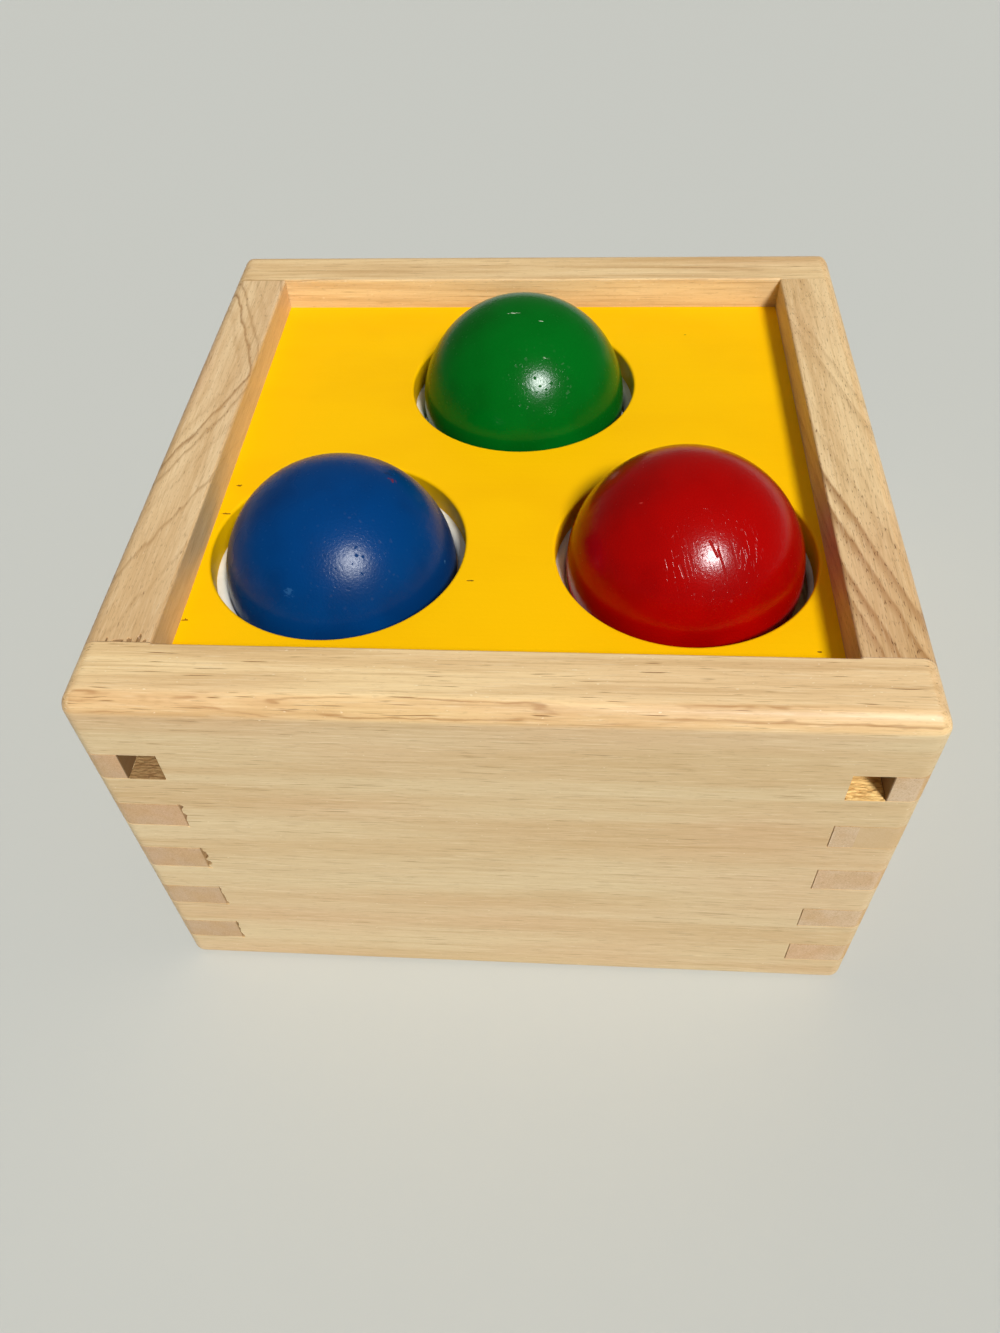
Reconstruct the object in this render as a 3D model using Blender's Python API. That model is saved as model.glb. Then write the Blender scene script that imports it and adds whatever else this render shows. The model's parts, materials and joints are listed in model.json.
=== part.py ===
# Ball pounding box: a finger-jointed wooden box whose painted top plate, elastic sheet and
# carrier board hold three balls, over a sloped floor that rolls them out at the back.
# Metres, +Z up. The closed front faces -Y, the ball exit is in the back wall at +Y, and the
# origin is on the table at the middle of the box.

from math import atan2, cos, pi, sin, sqrt

import bmesh
import bpy

MM = 0.001

# Balls and the room between them and the walls
BALL_DIAMETER = 50.0 * MM
PAIR_GAP = 23.8 * MM  # between the two front balls
ROW_GAP = 9.9 * MM  # from the front row back to the single ball, along Y
SIDE_GAP = 3.6 * MM  # from a front ball to its side wall
FRONT_GAP = 11.4 * MM  # from a front ball to the front wall
BACK_GAP = 9.7 * MM  # from the single ball to the back wall
BLUE_SEAT = 0.9 * MM  # from the underside of the rubber up to a ball's centre, as last pressed in
RED_SEAT = 3.95 * MM
GREEN_SEAT = 3.75 * MM

# Boards and sheets
WALL = 14.6 * MM
PLATE = 6.0 * MM
RUBBER = 2.0 * MM
RIM_HEIGHT = 8.05 * MM  # from the plate up to the top of the walls

# Finger joints, counted up from the table; the groove runs at the top side finger
BOTTOM_FINGER = 9.7 * MM
SIDE_FINGER = 7.65 * MM
FRONT_FINGER = 9.3 * MM
SIDE_FINGER_COUNT = 5
GROOVE_DEPTH = 7.4 * MM

# Rounded and eased edges
TOP_ROUND = 4.0 * MM
CORNER_ROUND = 3.0 * MM
BOTTOM_ROUND = 2.0 * MM
LEAST_CORNER = 1.0 * MM
HOLE_EASE = 0.6 * MM

# Sloped floor and the exit in the back wall
RAMP = 4.0 * MM
RAMP_RISE = 14.0 * MM
CLEAT_WIDTH = 10.0 * MM
CLEAT_BACK_HEIGHT = 2.3 * MM
CLEAT_LIFT = 1.5 * MM  # from the table up to the cleats
SILL_DROP = 0.5 * MM  # from the ramp down to the exit's sill
EXIT_HEADROOM = 4.0 * MM
EXIT_POST = 7.5 * MM  # from a side wall to the exit's side
EXIT_TOP_ROUND = 12.0 * MM
EXIT_FOOT_ROUND = 3.0 * MM

# Countersunk wood screws
SHANK_DIAMETER = 3.0 * MM
HEAD_DIAMETER = 6.0 * MM
HEAD_HEIGHT = 1.8 * MM
HEAD_LAND = 0.4 * MM
TIP_LENGTH = 2.5 * MM
HEAD_SINK = 0.3 * MM
CLAMP_COVER = 2.4 * MM  # plate left over the tip of a clamp screw
CLAMP_INSET = 8.0 * MM  # from the walls to a clamp screw
RAMP_SCREW_BITE = 7.0 * MM
RAMP_SCREW_FRONT = 18.0 * MM  # from the front wall to the first screw of each cleat
RAMP_SCREW_SPACING = 42.0 * MM
RAMP_SCREWS_PER_CLEAT = 2

# Clearances
JOINT_GAP = 0.2 * MM  # glued joints and stacked boards
EDGE_GAP = 0.3 * MM  # board edges to walls
BALL_GAP = 0.3 * MM  # ball to rubber
HOLE_CLEARANCE = 2.3 * MM  # ball to the holes in plate and carrier
SCREW_GAP = 0.2 * MM
OVERCUT = 1.0 * MM  # how far a cutter stands clear of what it cuts
WELD = 0.0001 * MM

# Facets
ROUND_STEPS = 5
BALL_RINGS = 20
HOLE_SIDES = 64
SCREW_SIDES = 16
SHARP_ANGLE = pi / 6

# Layout in plan
BALL_RADIUS = BALL_DIAMETER / 2
HOLE_RADIUS = BALL_RADIUS + HOLE_CLEARANCE
INNER_X = SIDE_GAP + BALL_DIAMETER + PAIR_GAP / 2
INNER_Y = (FRONT_GAP + 2 * BALL_DIAMETER + ROW_GAP + BACK_GAP) / 2
OUTER_X = INNER_X + WALL
OUTER_Y = INNER_Y + WALL
PAIR_X = (PAIR_GAP + BALL_DIAMETER) / 2
FRONT_ROW_Y = -INNER_Y + FRONT_GAP + BALL_RADIUS
BACK_ROW_Y = INNER_Y - BACK_GAP - BALL_RADIUS

# Layers, from the finger pitch upwards
FINGER_PITCH = SIDE_FINGER + FRONT_FINGER
SIDE_FINGER_FEET = [BOTTOM_FINGER + FINGER_PITCH * i for i in range(SIDE_FINGER_COUNT)]
GROOVE_FOOT = SIDE_FINGER_FEET[-1] - JOINT_GAP / 2
GROOVE_TOP = SIDE_FINGER_FEET[-1] + SIDE_FINGER + JOINT_GAP / 2
CARRIER_FOOT = GROOVE_FOOT + JOINT_GAP
CARRIER_TOP = GROOVE_TOP - JOINT_GAP
RUBBER_FOOT = CARRIER_TOP + JOINT_GAP
RUBBER_TOP = RUBBER_FOOT + RUBBER
PLATE_FOOT = RUBBER_TOP + JOINT_GAP
PLATE_TOP = PLATE_FOOT + PLATE
HEIGHT = PLATE_TOP + RIM_HEIGHT

# Centres of the balls, held in the rubber
BALL_PLACES = {
    "ball_blue": (-PAIR_X, FRONT_ROW_Y, RUBBER_FOOT + BLUE_SEAT),
    "ball_red": (PAIR_X, FRONT_ROW_Y, RUBBER_FOOT + RED_SEAT),
    "ball_green": (0.0, BACK_ROW_Y, RUBBER_FOOT + GREEN_SEAT),
}

# Ramp
SLOPE = atan2(RAMP_RISE, 2 * INNER_Y)
RAMP_DEPTH = RAMP / cos(SLOPE)
RAMP_BACK = CLEAT_LIFT + CLEAT_BACK_HEIGHT + JOINT_GAP + RAMP_DEPTH


# Height of the ramp's top at a distance along Y
def ramp_top(y):
    return RAMP_BACK + RAMP_RISE * (INNER_Y - y) / (2 * INNER_Y)


def clear_scene():
    for old in list(bpy.data.objects):
        bpy.data.objects.remove(old, do_unlink=True)


def make_material(name, colour, roughness, metallic=0.0):
    material = bpy.data.materials.new(name)
    material.use_nodes = True
    shader = material.node_tree.nodes["Principled BSDF"]
    shader.inputs["Base Color"].default_value = (*colour, 1.0)
    shader.inputs["Roughness"].default_value = roughness
    shader.inputs["Metallic"].default_value = metallic
    return material


# Turns a finished bmesh into a named object, with its faces pointing out
def add_object(name, bm, parent, material=None, place=(0.0, 0.0, 0.0), turn_x=0.0):
    return add_copies([name], bm, parent, material, [place], turn_x)[0]


# One mesh shared by several named objects, each at its own place
def add_copies(names, bm, parent, material, places, turn_x=0.0):
    bmesh.ops.recalc_face_normals(bm, faces=bm.faces)
    mesh = bpy.data.meshes.new(names[0])
    bm.to_mesh(mesh)
    bm.free()
    if material:
        mesh.materials.append(material)
    pieces = []
    for name, place in zip(names, places):
        piece = bpy.data.objects.new(name, mesh)
        bpy.context.scene.collection.objects.link(piece)
        piece.parent = parent
        piece.location = place
        piece.rotation_euler = (turn_x, 0.0, 0.0)
        pieces.append(piece)
    return pieces


def hide_cutter(cutter):
    cutter.hide_render = True
    cutter.display_type = "WIRE"
    return cutter


def combine(piece, tool, operation):
    step = piece.modifiers.new(tool.name, "BOOLEAN")
    step.operation = operation
    step.solver = "EXACT"
    step.object = tool


# Outline points given in two axes, pushed out along the third between low and high
def prism(outline, axis, low, high):
    def point(u, v):
        return {"X": (low, u, v), "Y": (u, low, v), "Z": (u, v, low)}[axis]

    bm = bmesh.new()
    corners = [bm.verts.new(point(u, v)) for u, v in outline]
    face = bm.faces.new(corners)
    pushed = bmesh.ops.extrude_face_region(bm, geom=[face])["geom"]
    moved = [part for part in pushed if isinstance(part, bmesh.types.BMVert)]
    step = [0.0, 0.0, 0.0]
    step["XYZ".index(axis)] = high - low
    bmesh.ops.translate(bm, verts=moved, vec=step)
    return bm


# A profile of (radius, height) points from top to bottom, turned about an upright axis
def add_turned(bm, profile, sides, place=(0.0, 0.0)):
    x, y = place
    spots = [bm.verts.new((x + radius, y, height)) for radius, height in profile]
    edges = [bm.edges.new(pair) for pair in zip(spots, spots[1:])]
    bmesh.ops.spin(
        bm, geom=spots + edges, cent=(x, y, 0.0), axis=(0.0, 0.0, 1.0), dvec=(0.0, 0.0, 0.0),
        angle=2 * pi, steps=sides, use_merge=True, use_duplicate=False)
    bmesh.ops.remove_doubles(bm, verts=bm.verts, dist=WELD)


def rounded_rectangle(x_low, x_high, y_low, y_high, low_round, high_round):
    corners = (
        (x_high, y_high, high_round, 0), (x_low, y_high, high_round, 1),
        (x_low, y_low, low_round, 2), (x_high, y_low, low_round, 3))
    outline = []
    for x, y, radius, quarter in corners:
        for i in range(ROUND_STEPS + 1):
            angle = (quarter + i / ROUND_STEPS) * pi / 2
            to_middle_x = -radius if x == x_high else radius
            to_middle_y = -radius if y == y_high else radius
            outline.append((
                x + to_middle_x + radius * cos(angle),
                y + to_middle_y + radius * sin(angle)))
    return outline


# The sanded outside of the whole box: rounded rectangles stacked along the edge curves
def outer_block(parent):
    levels = []
    for i in range(ROUND_STEPS + 1):
        angle = i / ROUND_STEPS * pi / 2
        levels.append((BOTTOM_ROUND * (1 - sin(angle)), BOTTOM_ROUND * (1 - cos(angle))))
    for i in range(ROUND_STEPS + 1):
        angle = i / ROUND_STEPS * pi / 2
        levels.append((TOP_ROUND * (1 - cos(angle)), HEIGHT - TOP_ROUND * (1 - sin(angle))))
    bm = bmesh.new()
    rings = []
    for inset, z in levels:
        corner = max(CORNER_ROUND - inset, LEAST_CORNER)
        x, y = OUTER_X - inset, OUTER_Y - inset
        outline = rounded_rectangle(-x, x, -y, y, corner, corner)
        rings.append([bm.verts.new((u, v, z)) for u, v in outline])
    for lower, upper in zip(rings, rings[1:]):
        for i in range(len(lower)):
            bm.faces.new((lower[i - 1], lower[i], upper[i], upper[i - 1]))
    bm.faces.new(rings[0])
    bm.faces.new(rings[-1])
    return hide_cutter(add_object("outer_block", bm, parent))


# Half of a comb's outline, from the table up: its reach differs at the side-finger levels
def comb_edge(reach_at_side_fingers, reach_between, gap):
    edge = [(reach_between, -OVERCUT)]
    for foot in SIDE_FINGER_FEET:
        low, high = foot - gap, foot + SIDE_FINGER + gap
        edge += [(reach_between, low), (reach_at_side_fingers, low)]
        edge += [(reach_at_side_fingers, high), (reach_between, high)]
    edge.append((reach_between, HEIGHT + OVERCUT))
    return edge


def comb_outline(edge):
    return edge + [(-reach, z) for reach, z in reversed(edge)]


# Front and back boards own the corners between the side fingers; the comb is cut to the block
def add_walls(parent, block, wood):
    front_comb = comb_outline(comb_edge(INNER_X - JOINT_GAP, OUTER_X + OVERCUT, JOINT_GAP))
    side_comb = comb_outline(comb_edge(OUTER_Y + OVERCUT, INNER_Y - JOINT_GAP, 0.0))
    boards = (
        ("front_wall", front_comb, "Y", -OUTER_Y - OVERCUT, -INNER_Y),
        ("back_wall", front_comb, "Y", INNER_Y, OUTER_Y + OVERCUT),
        ("left_wall", side_comb, "X", -OUTER_X - OVERCUT, -INNER_X),
        ("right_wall", side_comb, "X", INNER_X, OUTER_X + OVERCUT))
    groove = hide_cutter(add_groove(parent))
    walls = {}
    for name, comb, axis, low, high in boards:
        wall = add_object(name, prism(comb, axis, low, high), parent, wood[name])
        combine(wall, block, "INTERSECT")
        combine(wall, groove, "DIFFERENCE")
        walls[name] = wall
    combine(walls["back_wall"], hide_cutter(add_exit(parent)), "DIFFERENCE")


# One groove cutter runs round the inside and right through the ends of the side walls
def add_groove(parent):
    x, y = INNER_X + GROOVE_DEPTH, INNER_Y + GROOVE_DEPTH
    past = OUTER_Y + OVERCUT
    front_half = INNER_X - JOINT_GAP / 2
    outline = [
        (x, -past), (x, past), (front_half, past), (front_half, y),
        (-front_half, y), (-front_half, past), (-x, past), (-x, -past),
        (-front_half, -past), (-front_half, -y), (front_half, -y), (front_half, -past)]
    return add_object("groove_cutter", prism(outline, "Z", GROOVE_FOOT, GROOVE_TOP), parent)


def add_exit(parent):
    half = INNER_X - EXIT_POST
    sill = RAMP_BACK - SILL_DROP
    lintel = RAMP_BACK + BALL_DIAMETER / cos(SLOPE) + EXIT_HEADROOM
    outline = rounded_rectangle(-half, half, sill, lintel, EXIT_FOOT_ROUND, EXIT_TOP_ROUND)
    return add_object("exit_cutter", prism(outline, "Y", INNER_Y - OVERCUT, OUTER_Y + OVERCUT), parent)


# Profile of a screw with its head's face at height 0, pointing down; grow widens it to a hole
def screw_profile(length, grow=0.0, above=0.0):
    head, shank = HEAD_DIAMETER / 2 + grow, SHANK_DIAMETER / 2 + grow
    return [
        (0.0, above), (head, above), (head, -HEAD_LAND - grow), (shank, -HEAD_HEIGHT - grow),
        (shank, -length + TIP_LENGTH - grow), (0.0, -length - grow)]


def flip_profile(profile, face):
    return [(radius, face - height) for radius, height in reversed(profile)]


# The point on the middle line that lies equally far from all three balls
def middle_of_balls():
    rows = BACK_ROW_Y - FRONT_ROW_Y
    return (BACK_ROW_Y + FRONT_ROW_Y - PAIR_X ** 2 / rows) / 2


def clamp_places():
    x, y = INNER_X - CLAMP_INSET, INNER_Y - CLAMP_INSET
    return [(-x, -y), (0.0, -y), (x, -y), (0.0, middle_of_balls()), (-x, y), (x, y)]


# Plate, rubber and carrier lie on one another; the screws come up from under the carrier
def add_sandwich(parent, looks):
    clamp_face = CARRIER_FOOT + HEAD_SINK
    clamp_length = PLATE_TOP - CLAMP_COVER - clamp_face
    holes = bmesh.new()
    hole_profile = flip_profile(screw_profile(clamp_length, SCREW_GAP, HEAD_SINK + OVERCUT), clamp_face)
    for place in clamp_places():
        add_turned(holes, hole_profile, SCREW_SIDES, place)
    clamp_holes = hide_cutter(add_object("clamp_hole_cutter", holes, parent))

    plate_profile = [
        (0.0, PLATE_TOP + OVERCUT), (HOLE_RADIUS + HOLE_EASE + OVERCUT, PLATE_TOP + OVERCUT),
        (HOLE_RADIUS, PLATE_TOP - HOLE_EASE), (HOLE_RADIUS, PLATE_FOOT - OVERCUT),
        (0.0, PLATE_FOOT - OVERCUT)]
    carrier_profile = [
        (0.0, CARRIER_TOP + OVERCUT), (HOLE_RADIUS, CARRIER_TOP + OVERCUT),
        (HOLE_RADIUS, CARRIER_FOOT - OVERCUT), (0.0, CARRIER_FOOT - OVERCUT)]
    x, y = INNER_X - EDGE_GAP, INNER_Y - EDGE_GAP
    inset = GROOVE_DEPTH - EDGE_GAP
    layers = (
        ("top_plate", x, y, PLATE_FOOT, PLATE_TOP, plate_profile),
        ("rubber_sheet", x, y, RUBBER_FOOT, RUBBER_TOP, None),
        ("carrier_board", INNER_X + inset, INNER_Y + inset, CARRIER_FOOT, CARRIER_TOP, carrier_profile))
    for name, half_x, half_y, foot, top, profile in layers:
        sheet = [(-half_x, -half_y), (half_x, -half_y), (half_x, half_y), (-half_x, half_y)]
        piece = add_object(name, prism(sheet, "Z", foot, top), parent, looks[name])
        cutter = bmesh.new()
        for ball_x, ball_y, ball_z in BALL_PLACES.values():
            hole = profile or rubber_seat_profile(ball_z)
            add_turned(cutter, hole, HOLE_SIDES, (ball_x, ball_y))
        combine(piece, hide_cutter(add_object(name + "_cutter", cutter, parent)), "DIFFERENCE")
        combine(piece, clamp_holes, "DIFFERENCE")

    bm = bmesh.new()
    add_turned(bm, flip_profile(screw_profile(clamp_length), 0.0), SCREW_SIDES)
    places = [(x, y, clamp_face) for x, y in clamp_places()]
    names = [f"clamp_screw_{i + 1}" for i in range(len(places))]
    for screw in add_copies(names, bm, parent, looks["screw"], places):
        screw.data.shade_smooth()
        screw.data.set_sharp_from_angle(angle=SHARP_ANGLE)


# The rubber's holes follow the balls, each near its widest line
def rubber_seat_profile(ball_z):
    reach = BALL_RADIUS + BALL_GAP
    top = RUBBER_TOP + OVERCUT
    foot = RUBBER_FOOT - OVERCUT
    top_radius = sqrt(reach ** 2 - (ball_z - RUBBER_TOP) ** 2)
    foot_radius = sqrt(reach ** 2 - (ball_z - RUBBER_FOOT) ** 2)
    return [
        (0.0, top), (top_radius, top), (top_radius, RUBBER_TOP),
        (foot_radius, RUBBER_FOOT), (foot_radius, foot), (0.0, foot)]


# The ramp board lies on two tapered cleats glued to the side walls, screwed down from above
def add_floor(parent, looks):
    screw_length = RAMP + RAMP_SCREW_BITE
    screw_x = INNER_X - JOINT_GAP - CLEAT_WIDTH / 2
    places = []
    for x in (-screw_x, screw_x):
        for i in range(RAMP_SCREWS_PER_CLEAT):
            y = -INNER_Y + RAMP_SCREW_FRONT + RAMP_SCREW_SPACING * i
            places.append((x, y, ramp_top(y) - HEAD_SINK))
    bm = bmesh.new()
    add_turned(bm, screw_profile(screw_length, SCREW_GAP, HEAD_SINK + OVERCUT), SCREW_SIDES)
    names = [f"ramp_hole_cutter_{i + 1}" for i in range(len(places))]
    holes = [hide_cutter(cutter) for cutter in add_copies(names, bm, parent, None, places, -SLOPE)]

    x, y = INNER_X - EDGE_GAP, INNER_Y - EDGE_GAP
    ramp_outline = [
        (-y, ramp_top(-y)), (-y, ramp_top(-y) - RAMP_DEPTH),
        (y, ramp_top(y) - RAMP_DEPTH), (y, ramp_top(y))]
    ramp = add_object("ramp_board", prism(ramp_outline, "X", -x, x), parent, looks["ramp_board"])
    for cutter in holes:
        combine(ramp, cutter, "DIFFERENCE")

    under = RAMP_DEPTH + JOINT_GAP
    cleat_outline = [
        (-y, CLEAT_LIFT), (y, CLEAT_LIFT), (y, ramp_top(y) - under), (-y, ramp_top(-y) - under)]
    outer = INNER_X - JOINT_GAP
    inner = outer - CLEAT_WIDTH
    cleats = (
        ("left_cleat", -outer, -inner, holes[:RAMP_SCREWS_PER_CLEAT]),
        ("right_cleat", inner, outer, holes[RAMP_SCREWS_PER_CLEAT:]))
    for name, low, high, own_holes in cleats:
        cleat = add_object(name, prism(cleat_outline, "X", low, high), parent, looks["cleat"])
        for cutter in own_holes:
            combine(cleat, cutter, "DIFFERENCE")

    bm = bmesh.new()
    add_turned(bm, screw_profile(screw_length), SCREW_SIDES)
    names = [f"ramp_screw_{i + 1}" for i in range(len(places))]
    for screw in add_copies(names, bm, parent, looks["screw"], places, -SLOPE):
        screw.data.shade_smooth()
        screw.data.set_sharp_from_angle(angle=SHARP_ANGLE)


# Each ball's origin is its centre, on the upright line it is pounded down along
def add_balls(parent, looks):
    for name, place in BALL_PLACES.items():
        bm = bmesh.new()
        bmesh.ops.create_uvsphere(bm, u_segments=2 * BALL_RINGS, v_segments=BALL_RINGS, radius=BALL_RADIUS)
        ball = add_object(name, bm, parent, looks[name], place)
        ball.data.shade_smooth()


def main():
    clear_scene()
    box = bpy.data.objects.new("pounding_box", None)
    bpy.context.scene.collection.objects.link(box)
    pale_wood = (0.60, 0.44, 0.26)
    raw_board = (0.56, 0.41, 0.25)
    wood = {
        "front_wall": make_material("front_board_wood", pale_wood, 0.5),
        "back_wall": make_material("back_board_wood", pale_wood, 0.5),
        "left_wall": make_material("left_board_wood", pale_wood, 0.5),
        "right_wall": make_material("right_board_wood", pale_wood, 0.5)}
    looks = {
        "top_plate": make_material("yellow_paint", (0.98, 0.56, 0.0), 0.45),
        "rubber_sheet": make_material("white_rubber", (0.72, 0.71, 0.66), 0.6),
        "carrier_board": make_material("carrier_plywood", raw_board, 0.7),
        "ramp_board": make_material("ramp_plywood", raw_board, 0.6),
        "cleat": make_material("cleat_wood", raw_board, 0.7),
        "screw": make_material("zinc_steel", (0.55, 0.55, 0.53), 0.35, 1.0),
        "ball_blue": make_material("blue_enamel", (0.0, 0.045, 0.22), 0.25),
        "ball_green": make_material("green_enamel", (0.0, 0.135, 0.012), 0.25),
        "ball_red": make_material("red_enamel", (0.40, 0.0, 0.0), 0.25)}
    add_walls(box, outer_block(box), wood)
    add_sandwich(box, looks)
    add_floor(box, looks)
    add_balls(box, looks)


main()
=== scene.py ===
import json
import math
import random
from functools import partial

import bmesh
import bpy
from mathutils import Euler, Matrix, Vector

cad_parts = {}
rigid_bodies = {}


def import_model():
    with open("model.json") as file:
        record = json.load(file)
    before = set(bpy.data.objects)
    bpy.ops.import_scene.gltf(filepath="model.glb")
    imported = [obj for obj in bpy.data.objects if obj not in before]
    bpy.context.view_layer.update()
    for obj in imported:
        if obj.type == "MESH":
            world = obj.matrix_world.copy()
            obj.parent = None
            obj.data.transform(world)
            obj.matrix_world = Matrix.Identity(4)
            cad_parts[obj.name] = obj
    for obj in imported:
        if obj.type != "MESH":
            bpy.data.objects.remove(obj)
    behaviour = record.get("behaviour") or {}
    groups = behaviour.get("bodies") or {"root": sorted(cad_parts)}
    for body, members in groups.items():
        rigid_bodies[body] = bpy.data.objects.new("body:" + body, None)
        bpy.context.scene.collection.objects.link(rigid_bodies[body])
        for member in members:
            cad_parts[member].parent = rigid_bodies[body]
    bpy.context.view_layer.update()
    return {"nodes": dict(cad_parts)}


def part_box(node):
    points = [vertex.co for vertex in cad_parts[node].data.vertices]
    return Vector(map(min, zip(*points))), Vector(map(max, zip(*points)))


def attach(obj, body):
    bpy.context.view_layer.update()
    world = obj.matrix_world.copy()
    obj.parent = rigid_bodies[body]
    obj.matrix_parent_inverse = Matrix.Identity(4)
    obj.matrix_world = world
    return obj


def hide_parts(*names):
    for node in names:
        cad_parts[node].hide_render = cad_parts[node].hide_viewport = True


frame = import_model()
mm = 0.001
stageObjects = bpy.context.scene.collection.objects

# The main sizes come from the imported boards
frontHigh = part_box("front_wall")[1]
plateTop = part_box("top_plate")[1].z
carrierLow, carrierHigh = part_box("carrier_board")
rampLow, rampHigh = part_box("ramp_board")
ballBoxes = {colour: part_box("ball_" + colour) for colour in ("blue", "green", "red")}
ballMiddles = {colour: (low + high) / 2 for colour, (low, high) in ballBoxes.items()}
ballRadius = (ballBoxes["blue"][1].x - ballBoxes["blue"][0].x) / 2
outer = frontHigh.x  # the box is as wide as it is deep
inner = -frontHigh.y
height = frontHigh.z
slopeRise = 14.0 * mm  # how far the ramp falls towards the exit
slopeAngle = math.atan2(slopeRise, rampHigh.y - rampLow.y)

# Kinds of node that are used all over
mathNode = "ShaderNodeMath"
vectorNode = "ShaderNodeVectorMath"
rangeNode = "ShaderNodeMapRange"
splitNode = "ShaderNodeSeparateXYZ"
joinNode = "ShaderNodeCombineXYZ"
noiseNode = "ShaderNodeTexNoise"
cubeNode = "GeometryNodeMeshCube"
moveNode = "GeometryNodeTransform"
shapeNode = "GeometryNodeSetPosition"
copiesNode = "GeometryNodeInstanceOnPoints"
realNode = "GeometryNodeRealizeInstances"
booleanNode = "GeometryNodeMeshBoolean"
smooth = {"interpolation_type": "SMOOTHSTEP"}


# Inputs come in order, or by name or number. Each is a constant, a socket, a node (its first output), or a
# list of these where a socket takes several.
def setInputs(node, inputs):
    for key, value in inputs.items() if isinstance(inputs, dict) else enumerate(inputs):
        for single in value if isinstance(value, list) else [value]:
            if isinstance(single, bpy.types.Node):
                single = single.outputs[0]
            if isinstance(single, bpy.types.NodeSocket):
                node.id_data.links.new(single, node.inputs[key])
            else:
                node.inputs[key].default_value = single


def addNode(tree, kind, inputs=(), **settings):
    node = tree.nodes.new(kind)
    for name, value in settings.items():
        setattr(node, name, value)
    setInputs(node, inputs)
    return node


def hexColour(code):
    channels = [int(code[i:i + 2], 16) / 255 for i in (1, 3, 5)]
    linear = [c / 12.92 if c <= 0.04045 else ((c + 0.055) / 1.055) ** 2.4 for c in channels]
    return (*linear, 1.0)


# A new material, and addNode for its tree
def newMaterial(name):
    material = bpy.data.materials.new(name)
    material.use_nodes = True
    return material, partial(addNode, material.node_tree)


# Lays colours over the base, each through its mask, then sets the gloss and the relief
def finishMaterial(material, look, base, layers, gloss, bumps=None, sunk=True):
    tree = material.node_tree
    colour = hexColour(base)
    for mask, shade in layers:
        mix = addNode(tree, "ShaderNodeMix", {0: mask, 6: colour, 7: hexColour(shade)}, data_type="RGBA")
        colour = mix.outputs[2]
    surface = {
        "Base Color": colour, "Roughness": gloss, "Metallic": look.get("metallic", 0.0),
        "Specular IOR Level": look["specular"]}
    if bumps is not None:
        relief = {"Height": bumps, "Strength": look["bump"], "Distance": look["relief"]}
        surface["Normal"] = addNode(tree, "ShaderNodeBump", relief, invert=sunk)
    setInputs(tree.nodes["Principled BSDF"], surface)
    return material


# Object coordinates in millimetres, moved by an offset of the piece's own
def millimetres(add, shift=(0.0, 0.0, 0.0)):
    coords = add("ShaderNodeTexCoord")
    return add(vectorNode, [coords.outputs["Object"], (1 / mm,) * 3, shift], operation="MULTIPLY_ADD")


# Noise drawn out along one axis: cells of length by width, in millimetres
def drawnNoise(add, place, axis, length, width, detail):
    size = [1 / width] * 3
    size["XYZ".index(axis)] = 1 / length
    drawn = add(vectorNode, [place, tuple(size)], operation="MULTIPLY")
    return add(noiseNode, {"Vector": drawn, "Scale": 1.0, "Detail": detail})


# Mask of a spot whose edge is torn by a noise
def tornSpot(add, place, spot, size, tear, ragged, edge):
    nearby = add(vectorNode, [place, spot], operation="SUBTRACT")
    shrunk = add(vectorNode, [nearby, size], operation="DIVIDE")
    away = add(vectorNode, [shrunk], operation="LENGTH")
    torn = add(mathNode, [tear, ragged, away.outputs["Value"]], operation="MULTIPLY_ADD")
    return add(rangeNode, [torn, *edge], **smooth)


# In the looks below, a cell is a noise's length and width in millimetres and its detail. A mask is where it
# starts and where it is full, and then how strong it is at both, where that isn't 0 and 1.

# Rubberwood, planed, sanded and clear lacquered: pale straw with soft bands of tone, long thin darker
# lines and fine fibres along the grain, dark pores, duller pinkish end grain, and a warmer tone laid on
# the upward rounded edges. A feature is a cell, where its mask starts and is full, and its colour.
# Pores are about 0.15 mm wide; they are drawn wider than that, to show.
rubberwoodFeatures = {
    "tone": (150, 7, 1.5, 0.38, 0.66, "#C59C66"),
    "blush": (70, 22, 1.0, 0.46, 0.72, "#D9AC86"),
    "figure": (48, 2.2, 2.0, 0.44, 0.72, "#B98D55"),
    "line": (60, 0.7, 2.0, 0.57, 0.76, "#A67B45"),
    "streak": (22, 0.55, 3.0, 0.48, 0.78, "#B48A54"),
    "fibre": (6, 0.28, 2.0, 0.46, 0.76, "#A37C4B"),
    "glint": (7, 0.32, 2.0, 0.50, 0.78, "#FFF0CE"),
    "core": (9, 0.36, 1.0, 0.66, 0.76, "#8A6234"),
    "pore": (1.7, 0.25, 1.0, 0.61, 0.71, "#755131"),
    "fleck": (0.8, 0.45, 0.0, 0.80, 0.88, "#FFF3D6")}
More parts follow.
